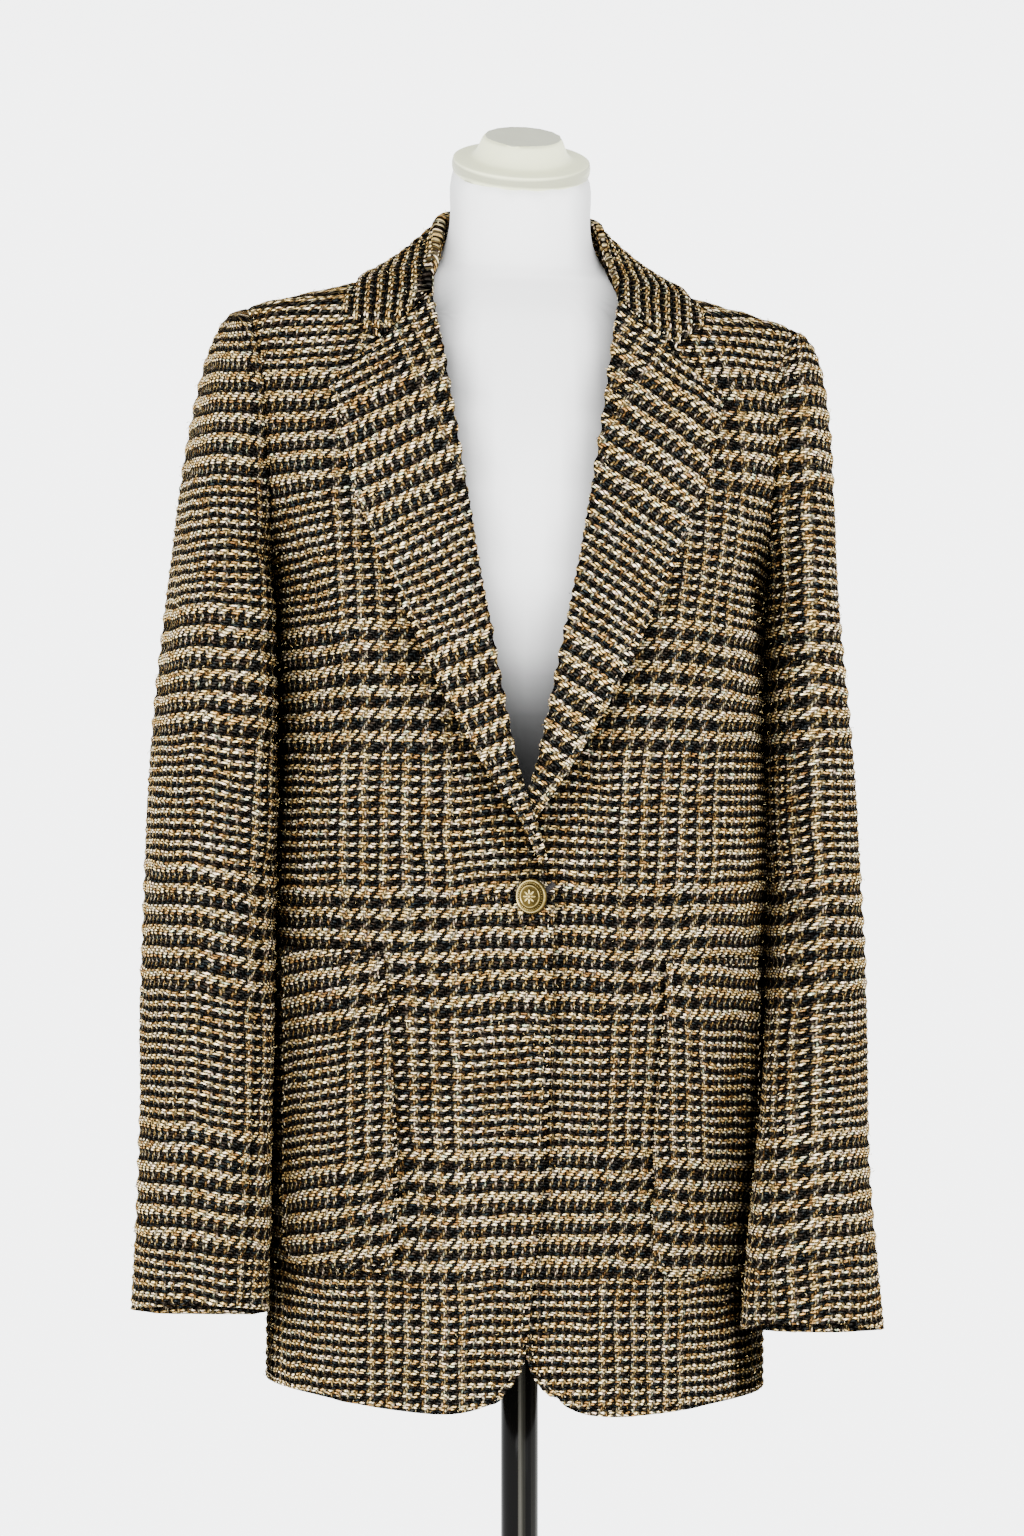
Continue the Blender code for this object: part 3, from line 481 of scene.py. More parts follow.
TUCK, TUCK_DROP = 0.0045, 0.0024  # how far a seam allowance goes on, and how far it goes in
TUCK_REACH = 0.004  # an edge this close to the other solid is sewn to it
CUFF_WARD = -0.5  # an edge whose way out points lower than this is a cuff's own edge


def tuck_under(mesh, names):
    """The seam allowance: an edge that runs along one of those solids goes on a little way under it."""
    points = points_of(mesh)[0]
    close = np.minimum.reduce([distances(points, name, TUCK_REACH) for name in names]) < TUCK_REACH
    bm = opened(mesh)
    seams, moves = [], {}
    for edge in bm.edges:
        first, last = edge.verts
        if not (edge.is_boundary and close[first.index] and close[last.index]):
            continue
        along = (last.co - first.co).normalized()
        out = (first.co + last.co) / 2 - edge.link_faces[0].calc_center_median()
        out = (out - along * out.dot(along)).normalized()
        if out.z < CUFF_WARD:
            continue
        seams.append(edge)
        for vertex in edge.verts:
            moves.setdefault(vertex.co.copy().freeze(), []).append(out * TUCK - vertex.normal * TUCK_DROP)
    for item in bmesh.ops.extrude_edge_only(bm, edges=seams)["geom"]:
        if isinstance(item, bmesh.types.BMVert):
            shifts = moves[item.co.copy().freeze()]
            item.co += sum(shifts, Vector()) / len(shifts)
    bm.to_mesh(mesh)
    bm.free()


def finished(name, mesh, made, replaced=None):
    """A piece of that mesh and material, which may stand for a node."""
    mesh.shade_smooth()
    mesh.materials.clear()
    mesh.materials.append(made)
    piece = add_object(name, mesh)
    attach(piece, "root")
    if replaced:
        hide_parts(replaced)
    return piece


def set_open_share(mesh, share):
    """How much of the light gets to each point, for the material."""
    mesh.attributes.new("open", "FLOAT", "POINT").data.foreach_set("value", share)


def cut_from_tweed(name, middle, grain, lift, beside, tucked=(), gloom=None):
    """A piece of the jacket: the solid's outer wall, with its creases, nap, grain and thickness.

    lift(points) says how far each point stands off the solid, and its creases get painted shade; beside lists
    what lies close to it, each putting painted shade on this piece; tucked names the pieces that its sewn
    edge goes under, and gloom(points) says how little light gets to each, as painted shade.
    """
    mesh = smoothed(name, outer_wall(name, middle))
    if tucked:
        tuck_under(mesh, tucked)
    add_picks(mesh, grain(points_of(mesh)[0])[1])
    points, normals = points_of(mesh)
    across, up = grain(points)
    off = lift(points)
    # Painted shade in the creases and painted light on their ridges, times the painted shadows from the
    # pieces close by and the painted shade of gloom.
    open_share = 1 - VALLEY_SHADE * np.clip(-off / VALLEY_DEPTH, -RIDGE_LIGHT, 1)
    for near in beside:
        close = 1 - rise(distances(points, near.name, near.reach), 0, near.reach)
        open_share *= 1 - near.depth * close * (1 - FADED * rise(points[:, 2], *near.fade))
        if (near.reach, near.depth) == SEAM:
            off = off - SEAM_DIP * close
    if gloom:
        open_share *= 1 - gloom(points)
    off = off + nap(points, up)
    mesh.vertices.foreach_set("co", (points + normals * off[:, None]).ravel())
    set_open_share(mesh, open_share)
    layer = mesh.uv_layers.new(name="grain")
    corners = np.empty(len(mesh.loops), dtype=np.int32)
    mesh.loops.foreach_get("vertex_index", corners)
    layer.data.foreach_set("uv", np.stack((across[corners], up[corners]), axis=1).ravel())
    piece = finished(name + "_tweed", mesh, TWEED, name)
    thick = piece.modifiers.new("Thick", "SOLIDIFY")
    thick.thickness = CLOTH_THICKNESS
    thick.offset = -1
    CLOTHS[name] = piece
    return piece


# ---------------------------------------------------------------------------------------------------------
# The two fronts: each one length of tweed from the shoulder to a rounded hem corner, with the check dropping
# a little from the front edge to the side. The right one laps over and takes the button.
BODY_WIDE, BODY_DEEP = 0.166, 0.120
SIDES = {"right": -1, "left": 1}
CHECK_FOOT = {"right": 0.9251, "left": 0.9260}  # height of a repeat's start at the front edge
CHECK_SAG = {"right": (0.0034, 0.010, 0.045), "left": (0.0031, 0.020, 0.070)}  # how far, from where, to where
SAG_GROWS = 0.88, 0.97  # from the hem up
CHEST = 1.08, 1.15, 1.25, 1.31
ARMHOLE_DROP, ARMHOLE_OUT = 0.10, 0.105
SHOULDER_DROP, SHOULDER = 0.004, (1.27, 1.31)
BAND_THREAD = {"right": 42, "left": 2}  # a warp thread in a dark stripe
Band = namedtuple("Band", "height place spread")  # where it runs at a height, and how close the warp is there
BAND = {
    "right": (
        Band(0.74, -0.0383, 1.27), Band(0.88, -0.0430, 1.00),
        Band(1.04, -0.0524, 1.00), Band(1.22, -0.0550, 1.10),
    ),
    "left": (
        Band(0.74, 0.0453, 1.35), Band(0.88, 0.0537, 1.20),
        Band(1.04, 0.0638, 1.00), Band(1.22, 0.0754, 1.00),
    ),
}


def table(rows):
    """The columns of a table as lists."""
    return [list(column) for column in zip(*rows)]


def body_middle(height):
    return Vector((0.0, 0.0, height))


def round_body(across, ahead):
    """The way round the body from where `ahead` is greatest."""
    angle = np.arctan2(across / BODY_WIDE, ahead / BODY_DEEP)
    return angle * (BODY_WIDE + BODY_DEEP) / 2 + (BODY_WIDE - BODY_DEEP) / 4 * np.sin(2 * angle)


def front_grain(word):
    heights, places, spreads = table(BAND[word])
    depth, start, end = CHECK_SAG[word]

    def grain(points):
        x, y, z = points.T
        along = round_body(x, -y)
        out = np.abs(along)
        chest = swell(z, *CHEST)
        sag = depth * rise(out, start, end) * (0.55 + 0.45 * rise(z, *SAG_GROWS)) * (1 - 0.6 * chest)
        sag += ARMHOLE_DROP * chest * np.maximum(out - ARMHOLE_OUT, 0) + SHOULDER_DROP * rise(z, *SHOULDER)
        across = (along - np.interp(z, heights, places)) * np.interp(z, heights, spreads)
        return BAND_THREAD[word] * WARP_PITCH + across, z + sag - CHECK_FOOT[word]

    return grain


FRONT_CREASES = {
    "right": creases(
        (-0.030, 1.006, -0.135, 1.052, 0.0022, 0.0060), (-0.034, 0.990, -0.150, 0.986, 0.0018, 0.0070),
        (-0.028, 0.972, -0.098, 0.915, 0.0016, 0.0060), (-0.058, 0.930, -0.066, 0.700, 0.0024, 0.0160),
        (-0.030, 0.900, -0.040, 0.690, -0.0014, 0.0150), (-0.150, 0.960, -0.158, 0.720, 0.0030, 0.0140),
        (-0.142, 1.220, -0.112, 1.110, 0.0030, 0.0080), (-0.160, 1.130, -0.128, 1.065, 0.0020, 0.0065),
        (-0.105, 1.345, -0.145, 1.300, 0.0016, 0.0090),
    ),
    "left": creases(
        (0.038, 1.012, 0.128, 1.070, 0.0019, 0.0065), (0.036, 0.994, 0.158, 1.004, 0.0023, 0.0060),
        (0.034, 0.975, 0.120, 0.940, 0.0015, 0.0070), (0.074, 0.920, 0.070, 0.700, 0.0020, 0.0180),
        (0.044, 0.890, 0.036, 0.690, -0.0016, 0.0130), (0.156, 0.930, 0.150, 0.710, 0.0026, 0.0150),
        (0.146, 1.210, 0.120, 1.090, 0.0026, 0.0090), (0.164, 1.120, 0.140, 1.050, 0.0022, 0.0060),
        (0.110, 1.340, 0.152, 1.290, 0.0018, 0.0085),
    ),
}
WAIST = 0.855, 0.90, 1.06, 1.10
SIDE_SEAM = 0.19, 0.22  # how far round the body the cloth gets fuller
SIDE_FULLNESS = 0.0026


def body_lift(along, z, lines):
    """The cloth of the body stands off a little at the side seams, in the waist."""
    full = SIDE_FULLNESS * rise(np.abs(along), *SIDE_SEAM) * swell(z, *WAIST)
    return full - creased(along, z, lines)


def front_lift(word):
    def lift(points):
        x, y, z = points.T
        return body_lift(round_body(x, -y), z, FRONT_CREASES[word])

    return lift


GLOOM_EDGE = {  # height, and how far out the deep shade begins between the body and the sleeve
    "right": ((0.739, 0.1600), (0.998, 0.1565), (1.049, 0.1535), (1.088, 0.1515), (1.217, 0.1550)),
    "left": (
        (0.739, 0.1390), (0.804, 0.1450), (0.907, 0.1550), (0.965, 0.1590), (1.114, 0.1590), (1.217, 0.1500),
    ),
}
GLOOM, GLOOM_SOFT = 0.90, (-0.002, 0.004)
ARMPIT = 1.20, 1.26  # it fades between these heights,
GLOOM_BACK = -0.024, -0.004  # and between these places on the way to the back


def front_gloom(word):
    heights, places = zip(*GLOOM_EDGE[word])

    def gloom(points):
        x, y, z = points.T
        past = np.abs(x) - np.interp(z, heights, places)
        seen = (1 - rise(z, *ARMPIT)) * (1 - 0.85 * rise(y, *GLOOM_BACK))
        return GLOOM * rise(past, *GLOOM_SOFT) * seen

    return gloom


# Painted shade on the fronts: beside the right front's edge on the left front, under the collar and the
# lapels, by the pocket and the button, along the seams and where the sleeves hang by them.
UNDER_LAP = {"right": (), "left": (Beside("right_front", 0.012, 0.62),)}
UNDER_COLLAR = Beside("collar", 0.009, 0.40)
UNDER_LAPEL = 0.032, 0.68, (1.12, 1.26)
for word in SIDES:
    beside = (
        Beside(word + "_lapel", *UNDER_LAPEL), UNDER_COLLAR, Beside(word + "_pocket", 0.006, 0.55),
        Beside("button", 0.005, 0.60), Beside(word + "_top_sleeve", *SEAM), Beside(word + "_back", *SEAM),
        Beside(word + "_under_sleeve", *HANGS_BY), Beside(word + "_top_sleeve", *HANGS_BY), *UNDER_LAP[word],
    )
    piece = cut_from_tweed(
        word + "_front", body_middle, front_grain(word), front_lift(word), beside, gloom=front_gloom(word)
    )

# ---------------------------------------------------------------------------------------------------------
# The lapels: the fronts' facings turned back along the roll line. They are cut with the check square to the
# front edge, so their stripes climb towards the roll.
LAPEL_RISE = {"right": math.radians(25), "left": math.radians(33)}
LAPEL_FOOT = {"right": 0.9883, "left": 0.9173}
LAPEL_THREAD = {"right": 0, "left": 46}
ROLL_STAND = 0.0030  # how far the turned-back cloth stands off the front, above the button
SPRING, GORGE = (0.002, 0.030), (1.22, 1.33)  # how far out from the roll it comes to that, and where it ends


def lapel_grain(word, side):
    def grain(points):
        x, y, z = points.T
        turn = LAPEL_RISE[word]
        out = side * x
        across = side * (out * math.cos(turn) - z * math.sin(turn)) + LAPEL_THREAD[word] * WARP_PITCH
        return across, out * math.sin(turn) + z * math.cos(turn) - LAPEL_FOOT[word]

    return grain


def lapel_roll(word, side):
    """Heights, and how far out the roll is at each."""
    solid = np.array([vertex.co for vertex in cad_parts[word + "_lapel"].data.vertices])
    bands = np.array_split(solid[np.argsort(solid[:, 2])], 24)
    return [band[:, 2].mean() for band in bands], [(side * band[:, 0]).min() for band in bands]


def lapel_lift(word, side):
    """Lying on the front at the roll and at the gorge, and springing off it lower down towards the edge."""
    heights, rolls = lapel_roll(word, side)

    def lift(points):
        x, y, z = points.T
        out = side * x - np.interp(z, heights, rolls)
        return ROLL_STAND * rise(out, *SPRING) * (1 - rise(z, *GORGE))

    return lift


for word, side in SIDES.items():
    grain, lift = lapel_grain(word, side), lapel_lift(word, side)
    # Painted shade along the seam to the collar and around the button.
    beside = Beside("collar", *SEAM), Beside("button", 0.005, 0.5)
    piece = cut_from_tweed(word + "_lapel", body_middle, grain, lift, beside)

# ---------------------------------------------------------------------------------------------------------
# The collar: a stand sewn to the neckline and a fall turned down over it, in one piece of cloth whose check
# follows the fold round the neck.
FOLD = (  # points on it, from the centre back round to the left
    (0.000, 0.056, 1.4625), (0.0255, 0.0495, 1.462), (0.044, 0.0315, 1.458), (0.053, 0.004, 1.450),
    (0.055, -0.011, 1.440), (0.0567, -0.027, 1.428), (0.0592, -0.052, 1.408), (0.0603, -0.0768, 1.3882),
    (0.0640, -0.1540, 1.3270),
)
COLLAR_CHECK = 0.094  # the fold runs this far up the repeat, among the hairlines


def collar_grain(points):
    """Along the fold, and away from it, to the nearest stretch of the fold."""
    fold = [Vector((-x, y, z)) for x, y, z in reversed(FOLD)] + [Vector(point) for point in FOLD[1:]]
    nearest, run = np.full(len(points), math.inf), np.zeros(len(points))
    done = 0.0
    for first, last in zip(fold, fold[1:]):
        way = np.array(last - first)
        share = np.clip(((points - np.array(first)) @ way) / (way @ way), 0, 1)
        apart = np.linalg.norm(points - (np.array(first) + share[:, None] * way), axis=1)
        closer = apart < nearest
        nearest = np.where(closer, apart, nearest)
        run = np.where(closer, done + share * np.linalg.norm(way), run)
        done += (last - first).length
    return run, COLLAR_CHECK + nearest


def flat_cloth(points):
    return np.zeros(len(points))


# Painted shade along the seams to the lapels, and where the collar lies near the form.
beside = Beside("right_lapel", *SEAM), Beside("left_lapel", *SEAM), Beside("dress_form", 0.022, 0.55)
piece = cut_from_tweed("collar", body_middle, collar_grain, flat_cloth, beside)

# ---------------------------------------------------------------------------------------------------------
# The patch pockets: rounded squares sewn on at three sides, their check a little lower than the front's.
PATCH_SPREAD = 1.21  # how close the warp is
PATCH_MIDDLE = 0.09, 0.775
# A warp thread and where it runs, the repeat's start, and how the weft falls sideways and spreads upwards.
Patch = namedtuple("Patch", "thread place foot slope stretch")
PATCH = {"right": Patch(18, -0.0826, 0.9160, 0.180, 0.0), "left": Patch(34, 0.1016, 0.9183, 0.085, 0.020)}


def pocket_grain(word):
    patch = PATCH[word]
    middle, middle_height = PATCH_MIDDLE

    def grain(points):
        x, y, z = points.T
        along = round_body(x, -y)
        across = patch.thread * WARP_PITCH + (along - patch.place) * PATCH_SPREAD
        fall = patch.slope * (np.abs(along) - middle) + patch.stretch * (z - middle_height)
        return across, z + fall - patch.foot

    return grain


for word in SIDES:
    grain, lift = pocket_grain(word), front_lift(word)
    piece = cut_from_tweed(word + "_pocket", body_middle, grain, lift, (), gloom=front_gloom(word))

# ---------------------------------------------------------------------------------------------------------
# The sleeves: a top and an under piece each, set into the armhole and hanging open at the cuff. The check
# runs round them, a little lower towards the body.
SLEEVE_RADIUS = 0.052  # that the way round a sleeve is measured with
SLEEVE_LINE = {  # height, and the middle's place across and ahead of it
    "right": (
        (0.68, -0.2100, -0.0840), (0.80, -0.2065, -0.0775), (0.92, -0.2055, -0.0645),
        (1.04, -0.2045, -0.0450), (1.16, -0.2000, -0.0325), (1.38, -0.1900, -0.0250),
    ),
    "left": (
        (0.68, 0.1900, -0.1060), (0.80, 0.1905, -0.0845), (0.86, 0.1940, -0.0610), (0.92, 0.1970, -0.0295),
        (0.98, 0.1970, 0.0000), (1.04, 0.1950, 0.0145), (1.16, 0.1900, 0.0165), (1.38, 0.1850, 0.0100),
    ),
}
SLEEVE_FOOT = {"right": 0.9387, "left": 0.9303}
SLEEVE_BAND = {  # height, and how far round from the sleeve's front, towards the body, the warp in fours is
    "right": ((0.70, 0.021), (1.38, 0.021)), "left": ((0.92, -0.0015), (1.00, -0.0055)),
}
SLEEVE_EASE = {  # height, and how much farther up the cloth a point is there than its height says
    "right": (
        (0.76, -0.0065), (0.97, 0.0), (1.06, 0.002), (1.12, -0.0008), (1.20, -0.001), (1.26, 0.0),
        (1.38, 0.003),
    ),
    "left": (
        (0.76, -0.011), (0.84, -0.0071), (0.90, -0.0032), (0.95, 0.0008), (1.06, 0.0036), (1.14, 0.0027),
        (1.26, 0.004), (1.38, 0.002),
    ),
}
SLEEVE_FALL = {"right": 0.13, "left": 0.07}  # of the check over the top of the arm, outwards
UPPER_ARM = 1.04, 1.14
INNER_FALL = 0.22  # of the check over the sleeve's front, towards the body
SLEEVE_CREASES = {  # across is the way round from the sleeve's front
    "right": creases(
        (0.070, 1.030, 0.010, 0.996, 0.0026, 0.0065), (0.075, 0.985, 0.018, 0.968, 0.0020, 0.0055),
        (0.066, 0.945, 0.022, 0.915, 0.0016, 0.0060), (0.060, 1.205, 0.004, 1.245, 0.0024, 0.0080),
        (0.052, 1.150, -0.006, 1.172, 0.0018, 0.0070), (-0.030, 1.060, -0.040, 0.820, 0.0018, 0.0130),
        (-0.110, 1.000, -0.165, 0.972, 0.0024, 0.0080), (-0.080, 0.900, -0.100, 0.760, 0.0022, 0.0140),
        (-0.120, 1.230, -0.170, 1.180, 0.0022, 0.0090),
    ),
    "left": creases(
        (-0.070, 1.010, -0.012, 0.985, 0.0026, 0.0060), (-0.072, 0.968, -0.020, 0.940, 0.0022, 0.0065),
        (-0.064, 1.200, -0.010, 1.232, 0.0022, 0.0085), (-0.050, 1.140, 0.008, 1.168, 0.0020, 0.0065),
        (0.028, 1.080, 0.036, 0.840, 0.0018, 0.0140), (0.105, 0.990, 0.160, 0.950, 0.0026, 0.0075),
        (0.085, 0.910, 0.095, 0.750, 0.0020, 0.0150), (0.125, 1.220, 0.175, 1.160, 0.0020, 0.0095),
    ),
}
SLEEVE_FULLNESS, UNDER_FULLNESS = 0.0007, 0.0012
OVER_FRONT = 0.016, 0.75, ARMHOLE


def sleeve_middle(word):
    heights, across, ahead = table(SLEEVE_LINE[word])

    def middle(height):
        return Vector((np.interp(height, heights, across), np.interp(height, heights, ahead), height))

    return middle


def round_sleeve(points, word, side, facing):
    """Out from the sleeve's middle line, ahead of it, and the way round from its front to each point.

    The way round is counted either way from the side that the piece looks to.
    """
    heights, across, ahead = table(SLEEVE_LINE[word])
    x, y, z = points.T
    to_side = side * (x - np.interp(z, heights, across))
    to_front = np.interp(z, heights, ahead) - y
    turn = np.arctan2(to_front, facing * to_side)
    return to_side, to_front, SLEEVE_RADIUS * facing * side * (math.pi / 2 - turn)


def sleeve_grain(word, side, facing):
    def grain(points):
        z = points[:, 2]
        to_side, to_front, round_front = round_sleeve(points, word, side, facing)
        on_front = rise(to_front, -0.01, 0.01)
        towards_body = np.maximum(0.005 - to_side, 0) * on_front
        outwards = np.maximum(to_side + 0.03, 0) * rise(z, *UPPER_ARM)
        ease = np.interp(z, *table(SLEEVE_EASE[word]))
        up = z + INNER_FALL * towards_body + SLEEVE_FALL[word] * outwards + ease - SLEEVE_FOOT[word]
        across = round_front + side * np.interp(z, *table(SLEEVE_BAND[word]))
        return across + (WARP_PITCH * BOLD if word == "left" else 0), up

    return grain


def sleeve_lift(word, side, facing):
    def lift(points):
        round_front = round_sleeve(points, word, side, facing)[2]
        z = points[:, 2]
        waist = swell(z, *WAIST) * (facing < 0)
        return SLEEVE_FULLNESS + UNDER_FULLNESS * waist - creased(round_front, z, SLEEVE_CREASES[word])

    return lift


for word, side in SIDES.items():
    front, back, top, under = (word + part for part in ("_front", "_back", "_top_sleeve", "_under_sleeve"))
    # Painted shade along the top sleeve's seams and where it lies over the front.
    beside = Beside(front, *SEAM), Beside(back, *SEAM), Beside(under, *SEAM), Beside(front, *OVER_FRONT)
    grain, lift = sleeve_grain(word, side, 1), sleeve_lift(word, side, 1)
    piece = cut_from_tweed(top, sleeve_middle(word), grain, lift, beside, (front, back))
    # Painted shade where the under sleeve hangs by the body and along its seam.
    beside = Beside(front, *HANGS_BY), Beside(back, *HANGS_BY), Beside(top, *SEAM)
    grain, lift = sleeve_grain(word, side, -1), sleeve_lift(word, side, -1)
    piece = cut_from_tweed(under, sleeve_middle(word), grain, lift, beside, (front, back, top))

# ---------------------------------------------------------------------------------------------------------
# The two backs, joined down the centre back and shaped a little at the waist.
BACK_FOOT, BACK_DROP = 0.9270, 0.02
BACK_BAND = 0.041  # the warp in fours runs down the middle, half on each back


def back_grain(points):
    x, y, z = points.T
    along = round_body(x, y)
    return -along - BACK_BAND, z + BACK_DROP * np.abs(along) - BACK_FOOT


BACK_CREASES = creases(
    (0.020, 1.050, 0.118, 1.032, 0.0026, 0.0075), (0.034, 1.006, 0.140, 1.022, 0.0020, 0.0065),
    (-0.016, 1.044, -0.108, 1.020, 0.0022, 0.0080), (-0.040, 0.996, -0.146, 1.014, 0.0025, 0.0060),
    (0.060, 1.318, 0.138, 1.282, 0.0018, 0.0090), (-0.052, 1.322, -0.142, 1.290, 0.0020, 0.0085),
    (0.150, 1.200, 0.116, 1.090, 0.0030, 0.0100), (-0.154, 1.190, -0.122, 1.080, 0.0027, 0.0105),
    (0.064, 0.960, 0.078, 0.690, 0.0034, 0.0170), (-0.070, 0.950, -0.076, 0.690, 0.0030, 0.0180),
    (0.128, 0.940, 0.140, 0.700, -0.0022, 0.0160), (-0.122, 0.930, -0.138, 0.700, -0.0024, 0.0150),
)


def back_lift(points):
    x, y, z = points.T
    return body_lift(round_body(x, y), z, BACK_CREASES)


for word, other in (("right", "left"), ("left", "right")):
    # Painted shade under the collar, along the seams and where the sleeve hangs by the back.
    beside = (
        UNDER_COLLAR, Beside(word + "_top_sleeve", *SEAM), Beside(word + "_front", *SEAM),
        Beside(other + "_back", *SEAM), Beside(word + "_under_sleeve", *HANGS_BY),
    )
    piece = cut_from_tweed(word + "_back", body_middle, back_grain, back_lift, beside)

# ---------------------------------------------------------------------------------------------------------
# The stitching: short picks of fawn silk by hand, a little in from every free edge of the fronts, the lapels,
# the collar and the pockets. They hold the layers of each edge together.
PICK_STEP, PICK_INSET = 0.0044, 0.0042
PICK_SIZE = 0.00125, 0.00034, 0.00030  # half of its length, width and height
PICK_STANDS = 0.0001
SEWN_REACH = 0.0060


def picks_along(cloth, sewn_to):
    """Place, way along the edge and normal of each pick stitch in a cloth."""
    bm = opened(cloth.data)
    placed, grid = [], {}
    for edge in bm.edges:
        if not edge.is_boundary:
            continue
        first, last = edge.verts
        along = (last.co - first.co).normalized()
        inside = edge.link_faces[0].calc_center_median() - (first.co + last.co) / 2
        inside = (inside - along * inside.dot(along)).normalized()
        spot = first.co + inside * PICK_INSET
        cell = tuple(int(value // PICK_STEP) for value in spot)
        around = product(*((place - 1, place, place + 1) for place in cell))
        if all((spot - other).length >= PICK_STEP for near in around for other in grid.get(near, ())):
            grid.setdefault(cell, []).append(spot)
            placed.append((spot, along))
    tree = BVHTree.FromBMesh(bm)
    bm.free()
    apart = [distances([spot for spot, along in placed], name, SEWN_REACH) for name in sewn_to]
    free = np.minimum.reduce(apart) >= SEWN_REACH if apart else np.ones(len(placed), dtype=bool)
    for (spot, along), kept in zip(placed, free):
        landed, normal = tree.find_nearest(spot)[:2]
        if kept:
            yield landed, along, normal


def add_ball(bm, segments, rings, *turns):
    """A round lump, moved, turned and stretched by those matrices; its points."""
    matrix = turns[0]
    for turn in turns[1:]:
        matrix = matrix @ turn
    ball = {"u_segments": segments, "v_segments": rings, "radius": 1, "matrix": matrix}
    return bmesh.ops.create_uvsphere(bm, **ball)["verts"]


def stitched(name, cloths, made):
    """One piece of all the pick stitches along those cloths' free edges."""
    bm = bmesh.new()
    for cloth, sewn_to in cloths:
        for place, along, normal in picks_along(cloth, sewn_to):
            side = normal.cross(along).normalized()
            turned = Matrix((along, side, normal)).transposed().to_4x4()
            moved = Matrix.Translation(place + normal * PICK_STANDS)
            add_ball(bm, 6, 4, moved, turned, Matrix.Diagonal((*PICK_SIZE, 1)))
    bmesh.ops.recalc_face_normals(bm, faces=bm.faces)
    finished(name, mesh_of(name, bm), made)


def dyed(name, colour, roughness, gloss, cloud, *stops):
    """A material whose colour changes from place to place, as a noise with that scale and detail does."""
    made, tree, shader = material(name, colour, roughness)
    varied = colour_ramp(tree, noise_in(tree, place_in(tree), *cloud), *stops)
    tree.links.new(varied, shader.inputs["Base Color"])
    shader.inputs["Specular IOR Level"].default_value = gloss
    return made


silk = dyed(
    "fawn silk thread", (0.55, 0.42, 0.24), 0.5, 0.1, (900.0,),
    (0.40, 0.30, 0.20, 0.09), (0.60, 0.80, 0.68, 0.44),
)
free_edges = []
for word in SIDES:
    sewn = [word + part for part in ("_top_sleeve", "_under_sleeve", "_back", "_lapel")]
    free_edges.append((CLOTHS[word + "_front"], [*sewn, "collar", "button"]))
    free_edges.append((CLOTHS[word + "_lapel"], ["collar"]))
    free_edges.append((CLOTHS[word + "_pocket"], []))
free_edges.append((CLOTHS["collar"], ["dress_form", "right_back", "left_back"]))
stitched("pick_stitches", free_edges, silk)

# ---------------------------------------------------------------------------------------------------------
# The wool itself: fine loops of boucle that have worked loose and stand off the cloth all over.
WISP_DENSITY = 8800  # for each square metre
WISP_RADIUS, WISP_BEND, WISP_ARC = 0.00013, 0.0010, math.radians(135)
WISP_LEAN = 0.9  # to each side at most
WISP_SIZES = 0.55, 1.5

wool = dyed(
    "loose wool", (0.4, 0.3, 0.15), 0.95, 0.0, (330.0, 1.0),
    (0.40, 0.010, 0.009, 0.009), (0.47, 0.060, 0.034, 0.012),
    (0.53, 0.50, 0.31, 0.085), (0.60, 0.86, 0.70, 0.34),
)

bm = bmesh.new()
ring = bmesh.ops.create_circle(bm, segments=3, radius=WISP_RADIUS)["verts"]
edges = {edge for vertex in ring for edge in vertex.link_edges}
bmesh.ops.spin(bm, geom=[*ring, *edges], cent=(WISP_BEND, 0, 0), axis=(0, 1, 0), angle=WISP_ARC, steps=3)
ends = [edge for edge in bm.edges if edge.is_boundary]
bmesh.ops.holes_fill(bm, edges=ends, sides=3)
bmesh.ops.recalc_face_normals(bm, faces=bm.faces)
wisp = add_object("one_wisp", mesh_of("one_wisp", bm))


def scatter_of_wisps(seed):
    """Geometry nodes that put wisps on a cloth: each leans and turns its own way, and is its own size."""
    group = bpy.data.node_groups.new("wisps", "GeometryNodeTree")
    group.interface.new_socket("Geometry", in_out="INPUT", socket_type="NodeSocketGeometry")
    group.interface.new_socket("Geometry", in_out="OUTPUT", socket_type="NodeSocketGeometry")
    kinds = (
        "NodeGroupInput", "NodeGroupOutput", "GeometryNodeDistributePointsOnFaces", "GeometryNodeObjectInfo",
        "GeometryNodeInstanceOnPoints", "GeometryNodeRealizeInstances", "FunctionNodeRotateRotation",
        "FunctionNodeRandomValue", "FunctionNodeRandomValue",
    )
    cloth, out, spread, template, put, real, lean, turns, sizes = (group.nodes.new(kind) for kind in kinds)
    spread.inputs["Density"].default_value = WISP_DENSITY
    spread.inputs["Seed"].default_value = seed
    template.inputs["Object"].default_value = wisp
    lean.rotation_space = "LOCAL"
    turns.data_type = "FLOAT_VECTOR"
    turns.inputs[0].default_value = (-WISP_LEAN, -WISP_LEAN, 0)
    turns.inputs[1].default_value = (WISP_LEAN, WISP_LEAN, 2 * math.pi)
    sizes.inputs[2].default_value, sizes.inputs[3].default_value = WISP_SIZES
    for start, end in (
        (cloth.outputs[0], spread.inputs["Mesh"]),
        (spread.outputs["Points"], put.inputs["Points"]),
        (template.outputs["Geometry"], put.inputs["Instance"]),
        (spread.outputs["Rotation"], lean.inputs["Rotation"]),
        (turns.outputs[0], lean.inputs["Rotate By"]),
        (lean.outputs[0], put.inputs["Rotation"]),
        (sizes.outputs[1], put.inputs["Scale"]),
        (put.outputs[0], real.inputs[0]),
        (real.outputs[0], out.inputs[0]),
    ):
        group.links.new(start, end)
    return group


